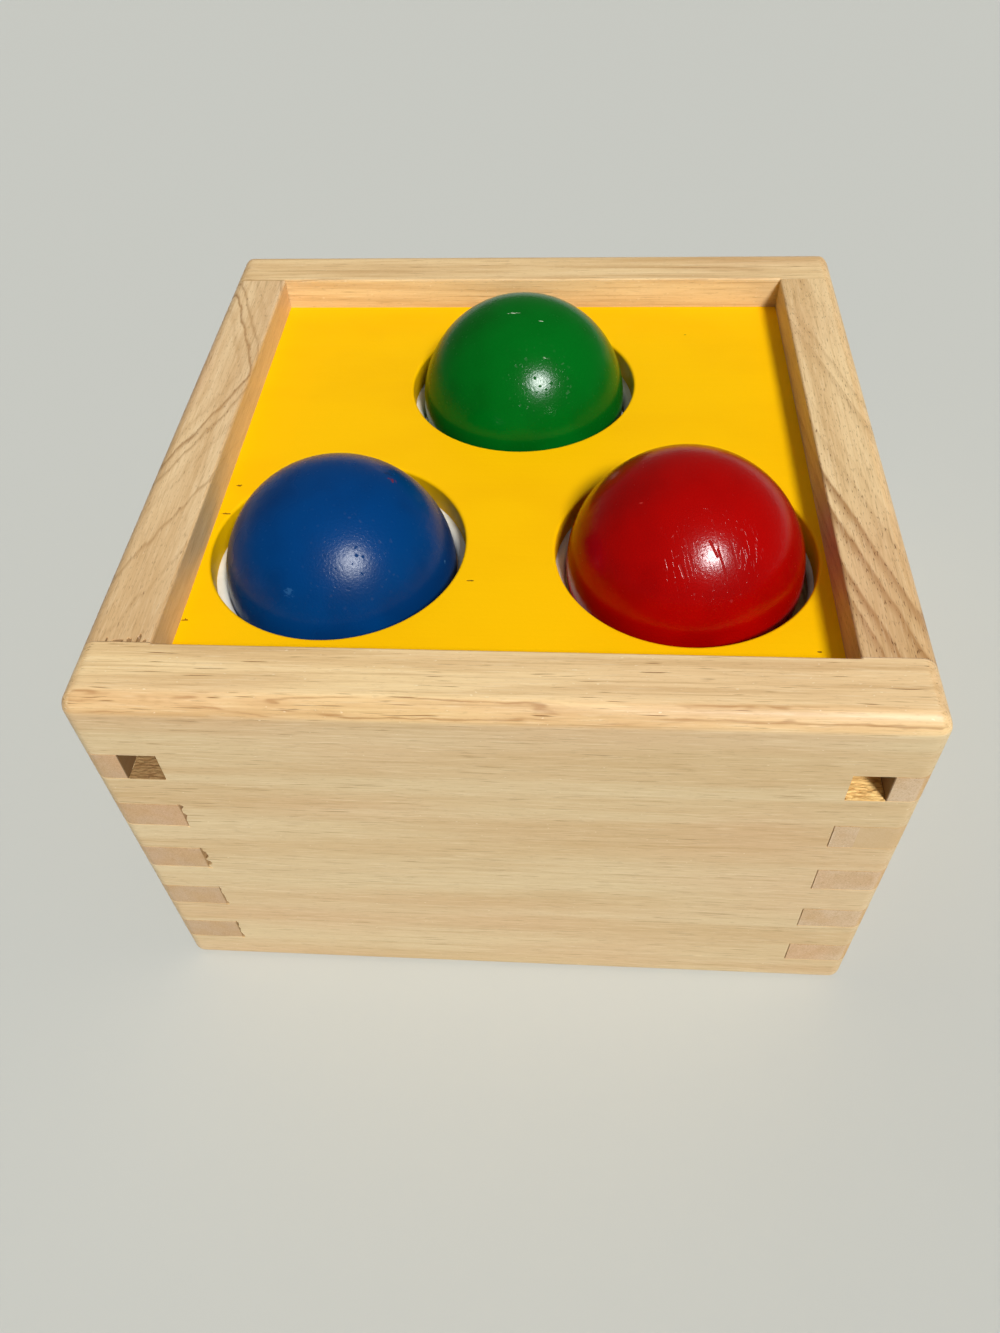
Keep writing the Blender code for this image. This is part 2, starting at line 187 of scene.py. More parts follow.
rubberwoodLook = {
    "late": "#A97D49", "ringRise": (0.25, 0.90), "ringFall": (0.90, 1.0, 1.0, 0.0), "foldTip": 3.0,
    "wanderCell": (75, 18, 1.0), "jitterCell": (9, 2.6, 2.0),
    "rounded": (0.93, 0.995, 1.0, 0.0), "upright": (0.15, 0.35), "warm": "#DDA049", "warmShare": (0.0, 0.18),
    "endCell": (9, 9, 2.0), "endShare": (0.35, 0.65, 0.85, 0.97), "endOn": (0.85, 0.97),
    "flameRing": 0.46, "flameCell": (16, 1.3, 2.0), "lengthwise": (0.30, 0.10),
    "flames": (("#F9E0AB", (0.60, 0.10), (0.35, 0.65, 0.1)), ("#9A6630", (0.66, 0.96), (0.60, 0.40, 0.0))),
    "ringLine": "#94693A", "lineMargin": 5, "lineFall": 0.6, "lineShare": (0.22, 0.95),
    "poreReach": 0.4, "poreNear": (0.65, 1.3), "sidePore": 0.55, "drift": "#BE9160", "patchReach": 0.12,
    "topFeatures": ("figure", "line", "streak", "core"), "fibreDepth": 0.4,
    "roughness": (0.0, 0.4, 0.42, 0.56), "specular": 0.12, "bump": 0.25, "relief": 0.12 * mm}

# Where the cutter or a tear left raw wood, brown and unlacquered and darker still as painted shade in the
# grooves, tears and nicks, and where filler hides the end grain of a finger: boxes in millimetres, just past
# the faces, each given to its board with a strength and a colour
rawAndShadedBrown = "#6B4E2E"
fillerStraw = "#D0B386"
grooveBox = {"middle": inner / mm + 3.8, "half": 3.75, "past": 0.25}
groove = {side: (
    (side * grooveBox["middle"] - grooveBox["half"], -outer / mm, carrierLow.z / mm - grooveBox["past"]),
    (side * grooveBox["middle"] + grooveBox["half"], outer / mm, carrierHigh.z / mm + grooveBox["past"]))
    for side in (-1, 1)}
fingerTears = ((-66.0, -79.9, 8.0), (-63.9, -77.0, 70.0))
topNicks = ((-76.0, -65.5, 96.0), (-65.9, -60.0, 101.3))
filledFinger = ((70.4, -80.3, 60.0), (80.3, -78.5, 69.0))

# How each board was sawn and looks. Growth rings cross it along ringNormal from ringFrom, fold back along
# the grain where fold isn't 0, and wander. Clear ring lines are given by their depth and strength. Top is
# the colour of the upward faces, lighter and more golden: painted light, where more light falls on them.
boardCuts = {
    "front": {
        "grain": "X", "pale": "#DDC8A0", "top": "#F4DAA9", "topGain": 2.0, "end": "#D6BE9C",
        "ringNormal": (0.012, -0.70, 0.714), "ringFrom": 128.0, "ring": 3.1,
        "ringShare": 0.07, "flameShare": 0.66, "foldAt": 20, "fold": 0.0, "wander": 6.0, "jitter": 0.9,
        "ringLines": (), "shift": (310, 40, 90), "drift": None, "patches": ((fingerTears, 0.55, rawAndShadedBrown),),
        "features": {"tone": 0.34, "blush": 0.26, "figure": 0.17, "line": 0.19, "streak": 0.13,
                     "fibre": 0.17, "glint": 0.24, "core": 0.46, "pore": 0.12, "fleck": 0.40}},
    "back": {
        "grain": "X", "pale": "#EBD2A3", "top": "#EDD2A2", "topGain": 1.2, "end": "#D6BE9C",
        "ringNormal": (-0.012, 0.80, 0.60), "ringFrom": 125.0, "ring": 3.6,
        "ringShare": 0.30, "flameShare": 0.60, "foldAt": -10, "fold": 0.0, "wander": 6.0, "jitter": 0.8,
        "ringLines": (), "shift": (-270, 130, -60), "drift": None, "patches": (),
        "features": {"tone": 0.40, "blush": 0.20, "figure": 0.34, "line": 0.48, "streak": 0.22,
                     "fibre": 0.14, "glint": 0.20, "core": 0.45, "pore": 0.18, "fleck": 0.30}},
    "left": {
        "grain": "Y", "pale": "#E4C89B", "top": "#E8CDA2", "topGain": 1.3, "end": "#C2A789",
        "ringNormal": (-1.0, 0.0, 1.2), "ringFrom": 121.8, "ring": 4.4,
        "ringShare": 0.14, "flameShare": 0.15, "foldAt": 23, "fold": -0.37, "wander": 2.4, "jitter": 2.4,
        "lineRise": 1.0, "ringLines": (
            (45.0, 0.35), (49.0, 0.20), (53.5, 0.55), (60.0, 0.25), (64.2, 0.55), (66.6, 0.75),
            (69.4, 0.25)),
        "shift": (80, 220, 510), "drift": (0, -80, 0.25),
        "patches": ((groove[-1], 0.85, rawAndShadedBrown), (topNicks, 0.65, rawAndShadedBrown)),
        "features": {"tone": 0.34, "blush": 0.34, "figure": 0.18, "line": 0.16, "streak": 0.20,
                     "fibre": 0.20, "glint": 0.20, "core": 0.20, "pore": 0.46, "fleck": 0.20}},
    "right": {
        "grain": "Y", "pale": "#E6C998", "top": "#EED3A4", "topGain": 1.4, "end": "#D6BEA0",
        "ringNormal": (1.0, 0.28, 1.2), "ringFrom": 121.8, "ring": 4.0,
        "ringShare": 0.16, "flameShare": 0.15, "foldAt": 0, "fold": 0.0, "wander": 2.2, "jitter": 1.0,
        "lineRise": 2.3, "ringLines": (
            (46.0, 0.8), (48.6, 1.0), (52.9, 0.9), (55.4, 1.0), (60.2, 0.9), (63.7, 0.8), (68.5, 0.35),
            (80.3, 0.38), (82.6, 0.34), (90.0, 0.2)),
        "shift": (-150, -330, 240), "drift": (-15, -75, 0.55),
        "patches": ((filledFinger, 0.65, fillerStraw), (groove[1], 0.85, rawAndShadedBrown)),
        "features": {"tone": 0.40, "blush": 0.34, "figure": 0.18, "line": 0.16, "streak": 0.20,
                     "fibre": 0.22, "glint": 0.20, "core": 0.25, "pore": 0.72, "fleck": 0.15}}}


def rubberwood(name, cut):
    look = rubberwoodLook
    grain = cut["grain"]
    along = "XYZ".index(grain)
    material, add = newMaterial(name)
    place = millimetres(add)
    shifted = millimetres(add, cut["shift"])
    axes = add(splitNode, [place]).outputs

    # Depth through the growth rings: a flat slope, a fold along the grain, and two sizes of wander
    flat = add(vectorNode, [place, cut["ringNormal"]], operation="DOT_PRODUCT")
    depth = add(mathNode, [flat.outputs["Value"], cut["ringFrom"]], operation="SUBTRACT")
    fromFold = add(mathNode, [axes[along], cut["foldAt"]], operation="SUBTRACT")
    squared = add(mathNode, [fromFold, fromFold, look["foldTip"] ** 2], operation="MULTIPLY_ADD")
    bow = add(mathNode, [squared], operation="SQRT")
    wander = drawnNoise(add, shifted, grain, *look["wanderCell"])
    jitter = drawnNoise(add, shifted, grain, *look["jitterCell"])
    for part, amount in ((bow, cut["fold"]), (wander, cut["wander"]), (jitter, cut["jitter"])):
        depth = add(mathNode, [part, amount, depth], operation="MULTIPLY_ADD")

    # Faint rings all through, each with a strength of its own
    phase = add(mathNode, [depth, cut["ring"]], operation="DIVIDE")
    share = add(mathNode, [phase], operation="FRACT")
    number = add(mathNode, [phase], operation="FLOOR")
    strength = add("ShaderNodeTexWhiteNoise", {"W": number}, noise_dimensions="1D")
    rings = add(rangeNode, [share, *look["ringRise"]], **smooth)
    fall = add(rangeNode, [share, *look["ringFall"]], **smooth)
    for factor in (fall, strength, cut["ringShare"]):
        rings = add(mathNode, [rings, factor], operation="MULTIPLY")

    # How far the surface is rounded over, and how far it shows end grain
    surface = add("ShaderNodeNewGeometry")
    turned = add(vectorNode, [surface.outputs["Normal"]], operation="ABSOLUTE")
    facing = add(splitNode, [turned]).outputs
    squarest = add(mathNode, [facing[0], facing[1]], operation="MAXIMUM")
    squarest = add(mathNode, [squarest, facing[2]], operation="MAXIMUM")
    rounded = add(rangeNode, [squarest, *look["rounded"]], **smooth)
    upright = add(rangeNode, [facing[2], *look["upright"]], **smooth)
    warmShare = add(rangeNode, [upright, 0.0, 1.0, *look["warmShare"]], **smooth)
    warm = add(mathNode, [rounded, warmShare], operation="MULTIPLY")
    sawn = drawnNoise(add, shifted, grain, *look["endCell"])
    endShare = add(rangeNode, [sawn, *look["endShare"]], **smooth)
    endGrain = add(rangeNode, [facing[along], *look["endOn"], 0.0, endShare], **smooth)
    # The upward faces take the top colour, lighter and more golden than the sides: painted light
    layers = [(upright, cut["top"]), (warm, look["warm"]), (rings, look["late"])]

    # The round cuts across the rings, which shows as a flame of dark and cream lines along the edge
    fine = add(mathNode, [depth, look["flameRing"]], operation="DIVIDE")
    fineShare = add(mathNode, [fine, 1.0], operation="PINGPONG")
    lengthwise = add(rangeNode, [facing[along], *look["lengthwise"]], **smooth)
    edge = add(mathNode, [rounded, upright], operation="MULTIPLY")
    edge = add(mathNode, [edge, lengthwise], operation="MULTIPLY")
    broken = drawnNoise(add, shifted, grain, *look["flameCell"])
    for shade, lines, gaps in look["flames"]:
        flame = add(rangeNode, [fineShare, *lines], **smooth)
        gain = add(rangeNode, [broken, *gaps, cut["flameShare"]], **smooth)
        for factor in (edge, gain):
            flame = add(mathNode, [flame, factor], operation="MULTIPLY")
        layers.append((flame, shade))

    # Clear ring lines, dark on the bark side and fading towards the pith, with most of the pores near them
    poreShare = cut["features"]["pore"]
    if cut["ringLines"]:
        first = cut["ringLines"][0][0] - look["lineMargin"]
        last = cut["ringLines"][-1][0] + look["lineMargin"]
        ramp = add("ShaderNodeValToRGB", [add(rangeNode, [depth, first, last])])
        stops = ramp.color_ramp.elements
        stops[0].color = stops[1].color = (0.0, 0.0, 0.0, 1.0)
        for at, dark in cut["ringLines"]:
            for offset, level in ((-cut["lineRise"], 0.0), (0.0, dark), (look["lineFall"], 0.0)):
                stop = stops.new((at + offset - first) / (last - first))
                stop.color = (level, level, level, 1.0)
        lineShare = add(rangeNode, [upright, 0.0, 1.0, *look["lineShare"]], **smooth)
        drawn = add(rangeNode, [ramp, 0.0, 1.0, 0.0, lineShare], **smooth)
        layers.append((drawn, look["ringLine"]))
        shares = [poreShare * near for near in look["poreNear"]]
        nearLine = add(rangeNode, [ramp, 0.0, look["poreReach"], *shares], **smooth)
        sidePore = add(rangeNode, [upright, 0.0, 1.0, look["sidePore"], 1.0], **smooth)
        poreShare = add(mathNode, [nearLine, sidePore], operation="MULTIPLY")

    if cut["drift"]:
        start, end, most = cut["drift"]
        layers.append((add(rangeNode, [axes[along], start, end, 0.0, most], **smooth), look["drift"]))

    # Features in order, each laid over the colour so far; some show more on the planed top
    layers.append((endGrain, cut["end"]))
    masks = {}
    for key, (*cell, low, high, shade) in rubberwoodFeatures.items():
        share = poreShare if key == "pore" else cut["features"][key]
        if key in look["topFeatures"]:
            share = add(rangeNode, [upright, 0.0, 1.0, share, share * cut["topGain"]], **smooth)
        noise = drawnNoise(add, shifted, grain, *cell)
        masks[key] = add(rangeNode, [noise, low, high, 0.0, share], **smooth)
        layers.append((masks[key], shade))
    # Boxes of filler and of raw wood; the raw brown is darkened further as painted shade in the grooves,
    # tears and nicks
    for corners, inside, shade in cut["patches"]:
        for axis, limits in zip(axes, zip(*corners)):
            for limit, side in zip(limits, (-1, 1)):
                within = add(rangeNode, [axis, limit + side * look["patchReach"], limit], **smooth)
                inside = add(mathNode, [within, inside], operation="MULTIPLY")
        layers.append((inside, shade))

    # Pores are open grooves in the lacquer, and the streaks stand a little rougher
    gloss = add(rangeNode, [masks["streak"], *look["roughness"]], **smooth)
    grooves = add(mathNode, [masks["fibre"], look["fibreDepth"], masks["pore"]], operation="MULTIPLY_ADD")
    return finishMaterial(material, look, cut["pale"], layers, gloss, grooves)


# Birch plywood, raw: pale veneers, alternately light and brown where an edge shows them. The cleats' pine
# has growth rings in place of veneers. Layers lie across a direction, from a start, each so many
# millimetres thick.
rawBoardLook = {
    "pale": "#DDBB84", "cross": "#B98D57", "pit": "#7E5B35", "crossPly": (0.40, 0.60, 0.0, 0.55),
    "veneerCell": (45, 2.2, 3.0), "figure": (0.42, 0.72, 0.0, 0.55),
    "fibreCell": (5.0, 0.5, 2.0), "pits": (0.60, 0.74, 0.0, 0.7),
    "roughness": 0.72, "specular": 0.2, "bump": 0.5, "relief": 0.25 * mm}
rawBoardLayers = {
    "carrierPly": {"across": (0.0, 0.0, 1.0), "thick": 1.24, "start": carrierLow.z / mm, "grain": "X"},
    "rampPly": {
        "across": (0.0, math.sin(slopeAngle), math.cos(slopeAngle)), "thick": 1.33, "start": 8.1,
        "grain": "X"},
    "cleatPine": {"across": (1.0, 0.0, 0.35), "thick": 4.0, "start": 0.0, "grain": "Y"}}


def rawBoard(name):
    look = rawBoardLook
    layer = rawBoardLayers[name]
    material, add = newMaterial(name)
    place = millimetres(add)
    depth = add(vectorNode, [place, layer["across"]], operation="DOT_PRODUCT")
    fromStart = add(mathNode, [depth.outputs["Value"], layer["start"]], operation="SUBTRACT")
    plies = add(mathNode, [fromStart, layer["thick"]], operation="DIVIDE")
    wave = add(mathNode, [plies, 1.0], operation="PINGPONG")
    crossPly = add(rangeNode, [wave, *look["crossPly"]], **smooth)
    veneer = drawnNoise(add, place, layer["grain"], *look["veneerCell"])
    figure = add(rangeNode, [veneer, *look["figure"]], **smooth)
    fibres = drawnNoise(add, place, layer["grain"], *look["fibreCell"])
    pits = add(rangeNode, [fibres, *look["pits"]], **smooth)
    layers = ((figure, look["cross"]), (crossPly, look["cross"]), (pits, look["pit"]))
    return finishMaterial(material, look, look["pale"], layers, look["roughness"], pits)


# Raw sawn rubberwood: golden torn fibres with dark hollows, and painted shade, brown, over the left pockets
rawSawnLook = {
    "pale": "#F4CE86", "fibre": "#B98744", "leftPocketShade": "#6F5030", "fibreCell": (2.6, 0.55, 3.0),
    "hollow": (0.42, 0.66, 0.0, 0.75), "leftPocketShaded": (5, -5, 0.0, 0.8),
    "roughness": 0.75, "specular": 0.2, "bump": 0.6, "relief": 0.3 * mm}


def rawSawn(name):
    look = rawSawnLook
    material, add = newMaterial(name)
    place = millimetres(add)
    axes = add(splitNode, [place]).outputs
    fibres = drawnNoise(add, place, "X", *look["fibreCell"])
    hollow = add(rangeNode, [fibres, *look["hollow"]], **smooth)
    # Painted shade: brown over the floors on the -X side, full past x = -5 mm
    leftPocketShaded = add(rangeNode, [axes["X"], *look["leftPocketShaded"]], **smooth)
    layers = ((hollow, look["fibre"]), (leftPocketShaded, look["leftPocketShade"]))
    return finishMaterial(material, look, look["pale"], layers, look["roughness"], fibres)


# Satin nursery paint on a sanded board: one strong yellow, the grain of the board faintly raised through it
# along its length, fine spray texture, and a few knocks down to brown wood. A knock is its place in X and Y
# and its length and width, in millimetres.
paintLook = {
    "colour": "#FCC500", "worn": "#F5BA00", "knock": "#6B4312",
    "ghostCell": (40, 1.3, 3.0), "mottleCell": (30, 18, 2.0), "sprayCell": (0.9, 0.9, 1.0),
    "tearCell": (0.7, 0.5, 2.0), "wear": (0.35, 0.75, 0.0, 0.5), "ragged": 1.6,
    "knockEdge": (1.15, 1.45, 0.9, 0.0), "ghostHeight": 1.5,
    "roughness": (0.3, 0.7, 0.40, 0.50), "specular": 0.05, "bump": 0.22, "relief": 0.10 * mm,
    "knocks": ((-62.9, -10.1, 1.3, 0.6), (-63.6, -19.7, 2.4, 0.45), (-64.6, -52.0, 1.2, 0.5),
               (-7.6, -39.5, 1.6, 0.3), (60.8, -57.2, 0.8, 0.45), (41.0, 52.0, 0.6, 0.3))}


def satinPaint(name):
    look = paintLook
    material, add = newMaterial(name)
    place = millimetres(add)
    ghost, mottle, spray, tear = [
        drawnNoise(add, place, "X", *look[key + "Cell"]) for key in ("ghost", "mottle", "spray", "tear")]
    layers = [(add(rangeNode, [mottle, *look["wear"]], **smooth), look["worn"])]
    for x, y, long, wide in look["knocks"]:
        spot = (x, y, plateTop / mm)
        knock = tornSpot(add, place, spot, (long, wide, 1.0), tear, look["ragged"], look["knockEdge"])
        layers.append((knock, look["knock"]))
    gloss = add(rangeNode, [ghost, *look["roughness"]], **smooth)
    raised = add(mathNode, [ghost, look["ghostHeight"], spray], operation="MULTIPLY_ADD")
    return finishMaterial(material, look, look["colour"], layers, gloss, raised, sunk=False)


# Gloss enamel dipped over turned wood: deep colour and a soft highlight broken up by orange peel, by pits
# where pores took up the paint and by hairline grain marks, which are dull and so show dark in it, and a
# few knocks. The peel is drawn coarser than the real 0.2 mm, to show. A mark is its place from the ball's
# middle, its size, strength and colour. Pits are their spacing, size and depth, a patch is the place and
# reach of most of them, and a stroke runs between two places.
enamelLook = {
    "bump": 1.0, "relief": 0.06 * mm, "cloudCell": (14, 14, 2.0), "deepShare": (0.40, 0.70, 0.0, 0.8),
    "cloudGloss": (0.3, 0.7), "tearCell": (0.8, 0.4, 2.0), "ragged": 2.2, "markEdge": (1.35, 1.75),
    "peelCell": (0.55, 0.55, 3.0), "pitShadeShare": 0.10, "patchLeast": 0.15, "pitShake": 1.1, "pitBend": 0.9,
    "pitCells": (0.38, 0.80), "pitEdge": (-0.03, 0.05), "pitDull": 0.60,
    "hairCell": (4.5, 0.36, 1.0), "hairEdge": (0.61, 0.69), "hairDull": 0.10, "hairSunk": 0.65,
    "strokeWidth": (0.30, 0.12), "strokeDull": 0.70, "strokeSunk": 1.3,
    "colours": {
        "blue": {
            "base": "#003A78", "deep": "#003068", "pit": "#000E24", "pits": (1.2, 0.27, 0.4),
            "specular": 0.10, "roughness": (0.24, 0.30), "peel": 0.75, "hairlines": 0.2,
            "grain": (0.1, 0.3, 0.95), "patch": ((7.0, -16.1, 17.8), 11.0), "strokes": (),
            "marks": (((12.6, 4.8, 21.0), (1.4, 1.1, 1.2), 0.85, "#7A2430"),
                      ((11.6, 6.8, 21.0), (1.9, 1.0, 1.2), 0.6, "#0C2850"),
                      ((-5.6, -20.4, 13.3), (1.6, 1.4, 1.5), 0.5, "#2F659E"),
                      ((23.5, -4.8, 7.1), (0.6, 0.6, 0.6), 0.7, "#4A78A8"))},
        "green": {
            "base": "#006417", "deep": "#005811", "pit": "#001C04", "pits": (1.0, 0.36, 0.5),
            "specular": 0.11, "roughness": (0.16, 0.21), "peel": 0.55, "hairlines": 0.2,
            "grain": (0.2, 0.1, 0.97), "patch": ((5.0, -17.9, 16.7), 9.0), "strokes": (),
            "marks": (((-1.6, -2.4, 24.8), (2.0, 0.3, 0.5), 0.7, "#CFE2CC"),
                      ((4.8, -4.6, 24.1), (1.0, 0.25, 0.5), 0.6, "#CFE2CC"),
                      ((6.0, -13.6, 20.1), (0.9, 0.3, 0.4), 0.6, "#CFE2CC"))},
        "red": {
            "base": "#A20201", "deep": "#900000", "pit": "#3C0000", "pits": (1.6, 0.18, 0.3),
            "specular": 0.135, "roughness": (0.165, 0.205), "peel": 0.60, "hairlines": 0.7,
            "grain": (0.815, 0.264, 0.0), "patch": ((3.1, -16.8, 18.3), 13.0), "strokes": (
                ((2.3, -14.7, 20.1), (3.8, -16.8, 18.1)), ((3.9, -15.8, 19.0), (5.7, -19.1, 15.1)),
                ((6.2, -14.2, 19.7), (7.8, -17.6, 16.0)), ((-1.6, -16.7, 18.5), (-0.7, -18.8, 16.4)),
                ((-3.2, -18.1, 17.0), (-2.3, -19.7, 15.3))),
            "marks": (((-10.5, -6.0, 21.9), (0.8, 0.4, 0.5), 0.5, "#C8403A"),)}}}


def glossEnamel(name, colour, middle):
    look = {**enamelLook, **enamelLook["colours"][colour]}
    material, add = newMaterial(name)
    place = millimetres(add, tuple(-value / mm for value in middle))
    cloud, tear, peel = [
        drawnNoise(add, place, "X", *look[key + "Cell"]) for key in ("cloud", "tear", "peel")]
    layers = [(add(rangeNode, [cloud, *look["deepShare"]], **smooth), look["deep"])]
    for spot, size, strength, shade in look["marks"]:
        edge = (*look["markEdge"], strength, 0.0)
        layers.append((tornSpot(add, place, spot, size, tear, look["ragged"], edge), shade))

    # Pits of unlike size, bent out of round, some cells with none
    spacing, pitSize, pitSunk = look["pits"]
    shaken = add(noiseNode, {"Vector": place, "Scale": look["pitShake"], "Detail": 1.0})
    bend = (look["pitBend"],) * 3
    bent = add(vectorNode, [shaken.outputs["Color"], bend, place], operation="MULTIPLY_ADD")
    cells = add("ShaderNodeTexVoronoi", {"Vector": bent, "Scale": 1 / spacing}).outputs
    pitReach = add(rangeNode, [cells["Color"], *look["pitCells"], 0.0, pitSize], **smooth)
    within = add(mathNode, [pitReach, cells["Distance"]], operation="SUBTRACT")
    patch, reach = look["patch"]
    fromPatch = add(vectorNode, [place, patch], operation="DISTANCE").outputs["Value"]
    struck = add(rangeNode, [fromPatch, reach, reach / 2, look["patchLeast"], 1.0], **smooth)
    pits = add(rangeNode, [within, *look["pitEdge"], 0.0, struck], **smooth)
    # Pits tinted dark, most on the struck patch: painted shade in their hollows
    layers.append((add(rangeNode, [pits, 0.0, 1.0, 0.0, look["pitShadeShare"]], **smooth), look["pit"]))

    # Pits and grain marks dent and dull the paint, and the peel lies in it
    turned = add("ShaderNodeMapping", {"Vector": place, "Rotation": look["grain"]}, vector_type="POINT")
    marks = drawnNoise(add, turned, "Z", *look["hairCell"])
    hairShare = add(rangeNode, [struck, 0.0, 1.0, 0.0, look["hairlines"]], **smooth)
    hairs = add(rangeNode, [marks, *look["hairEdge"], 0.0, hairShare], **smooth)
    dents = add(mathNode, [peel, look["peel"]], operation="MULTIPLY")
    gloss = add(rangeNode, [cloud, *look["cloudGloss"], *look["roughness"]], **smooth)
    faults = [(pits, pitSunk, look["pitDull"]), (hairs, look["hairSunk"], look["hairDull"])]
    for start, end in look["strokes"]:
        run = Vector(end) - Vector(start)
        fromStart = add(vectorNode, [place, start], operation="SUBTRACT")
        share = add(vectorNode, [fromStart, run / run.length_squared], operation="DOT_PRODUCT")
        held = add("ShaderNodeClamp", [share.outputs["Value"]])
        nearest = add(vectorNode, {0: run, "Scale": held}, operation="SCALE")
        away = add(vectorNode, [fromStart, nearest], operation="DISTANCE")
        stroke = add(rangeNode, [away.outputs["Value"], *look["strokeWidth"]], **smooth)
        faults.append((stroke, look["strokeSunk"], look["strokeDull"]))
    for fault, sunk, dull in faults:
        dents = add(mathNode, [fault, sunk, dents], operation="MULTIPLY_ADD")
        gloss = add(mathNode, [fault, dull, gloss], operation="MULTIPLY_ADD")
    return finishMaterial(material, look, look["base"], layers, gloss, dents)


# Calendered latex sheet: matt off-white, slightly uneven, a little grey where dust has stuck
latexLook = {
    "colour": "#EFEDE4", "dust": "#C9C5B6", "cloudCell": (9, 9, 3.0), "dusty": (0.45, 0.75, 0.0, 0.7),
    "grainCell": (0.6, 0.6, 1.0), "roughness": 0.62, "specular": 0.2, "bump": 0.2, "relief": 0.1 * mm}


def latexSheet(name):
    look = latexLook
    material, add = newMaterial(name)
    place = millimetres(add)
    cloud = drawnNoise(add, place, "X", *look["cloudCell"])
    dusty = add(rangeNode, [cloud, *look["dusty"]], **smooth)
    grain = drawnNoise(add, place, "X", *look["grainCell"])
    layers = [(dusty, look["dust"])]
    return finishMaterial(material, look, look["colour"], layers, look["roughness"], grain, sunk=False)


# Zinc plated steel: cool grey with a faint yellow cast in patches, satin from the barrel plating
zincLook = {
    "bright": "#C9CAC6", "dull": "#A8A595", "cloudCell": (1.8, 1.2, 3.0), "dulled": (0.4, 0.7),
    "roughness": (0.3, 0.7, 0.26, 0.48), "metallic": 1.0, "specular": 0.5}


def zincSteel(name):
    look = zincLook
    material, add = newMaterial(name)
    cloud = drawnNoise(add, millimetres(add), "Z", *look["cloudCell"])
    dulled = add(rangeNode, [cloud, *look["dulled"]], **smooth)
    gloss = add(rangeNode, [cloud, *look["roughness"]], **smooth)
    return finishMaterial(material, look, look["bright"], [(dulled, look["dull"])], gloss)


# A geometry tree with its named inputs: the tree, addNode for it, and those inputs
def newTree(name, sockets):
    tree = bpy.data.node_groups.new(name, "GeometryNodeTree")
    for label, kind in {"Geometry": "Geometry", **sockets}.items():
        tree.interface.new_socket(label, in_out="INPUT", socket_type="NodeSocket" + kind)
    tree.interface.new_socket("Geometry", in_out="OUTPUT", socket_type="NodeSocketGeometry")
    add = partial(addNode, tree)
    return tree, add, add("NodeGroupInput").outputs


def closeTree(add, geometry, finish):
    whole = add(realNode, [geometry])
    painted = add("GeometryNodeSetMaterial", {"Geometry": whole, "Material": finish})
    add("NodeGroupOutput", [painted])


# Runs a tree on a start mesh and keeps the result as a plain mesh at the origin
def growPiece(name, startMesh, tree, settings, sharpAngle=28):
    piece = bpy.data.objects.new(name, startMesh)
    stageObjects.link(piece)
    modifier = piece.modifiers.new(tree.name, "NODES")
    modifier.node_group = tree
    for item in tree.interface.items_tree:
        if item.in_out == "INPUT" and item.name in settings:
            modifier[item.identifier] = settings[item.name]
    keepEvaluated(piece)
    return shadePiece(piece, sharpAngle)


def keepEvaluated(piece):
    graph = bpy.context.evaluated_depsgraph_get()
    made = bpy.data.meshes.new_from_object(piece.evaluated_get(graph))
    piece.modifiers.clear()
    piece.data = made


# Smooth over the rounds, crisp at the cuts, and flat where a face is flat
def shadePiece(piece, sharpAngle):
    piece.data.shade_smooth()
    piece.data.set_sharp_from_angle(angle=math.radians(sharpAngle))
    weighted = piece.modifiers.new("flatFaces", "WEIGHTED_NORMAL")
    weighted.keep_sharp = True
    keepEvaluated(piece)
    return piece


# Puts a piece on the body that it rides on and hides the nodes that it stands for, if any; the slot is not
# used
def dress(piece, body, slot, *nodes):
    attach(piece, body)
    if nodes:
        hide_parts(*nodes)
    print(f"{piece.name}: {sum(len(face.vertices) - 2 for face in piece.data.polygons)} triangles")


# Outline of a rectangle with round corners; a point held back from each arc keeps the straight sides flat
def roundedOutline(low, high, radii, steps, hold):
    corners = (
        (high[0], high[1], -1, -1), (low[0], high[1], 1, -1),
        (low[0], low[1], 1, 1), (high[0], low[1], -1, 1))
    points = []
    for quarter, (x, y, inX, inY) in enumerate(corners):
        radius = radii[quarter]
        middleX, middleY = x + inX * radius, y + inY * radius
        arc = [(quarter + i / steps) * math.pi / 2 for i in range(steps + 1)]
        ring = [(middleX + radius * math.cos(a), middleY + radius * math.sin(a)) for a in arc]
        points.append((ring[0][0] + hold * math.sin(arc[0]), ring[0][1] - hold * math.cos(arc[0])))
        points += ring
        points.append((ring[-1][0] - hold * math.sin(arc[-1]), ring[-1][1] + hold * math.cos(arc[-1])))
    return points


# Closed solid through a stack of outlines that have equally many points
def addLoft(bm, rings):
    verts = [[bm.verts.new(point) for point in ring] for ring in rings]
    for lower, upper in zip(verts, verts[1:]):
        for i in range(len(lower)):
            bm.faces.new((lower[i - 1], lower[i], upper[i], upper[i - 1]))
    bm.faces.new(list(reversed(verts[0])))
    bm.faces.new(verts[-1])


def meshFrom(bm, name):
    bmesh.ops.recalc_face_normals(bm, faces=bm.faces)
    mesh = bpy.data.meshes.new(name)
    bm.to_mesh(mesh)
    bm.free()
    return mesh


# Walls: one rounded blank for the whole box, sawn into four finger-jointed boards
wallSizes = {
    "topRound": 4.0 * mm, "crease": math.radians(15), "bottomRound": 2.0 * mm, "corner": 3.0 * mm,
    "leastCorner": 1.0 * mm, "innerEase": 0.55 * mm, "easeStart": 0.02 * mm, "steps": 10, "hold": 0.35 * mm,
    "firstFinger": 9.7 * mm, "finger": 7.65 * mm, "between": 9.3 * mm, "count": 5,
    "gap": 0.2 * mm, "over": 1.0 * mm, "grooveDepth": 7.4 * mm,
    "exitPost": 7.5 * mm, "exitTop": 54.3 * mm, "exitDrop": 0.5 * mm, "exitRound": 12.0 * mm,
    "exitFoot": 3.0 * mm, "exitEase": 1.0 * mm}


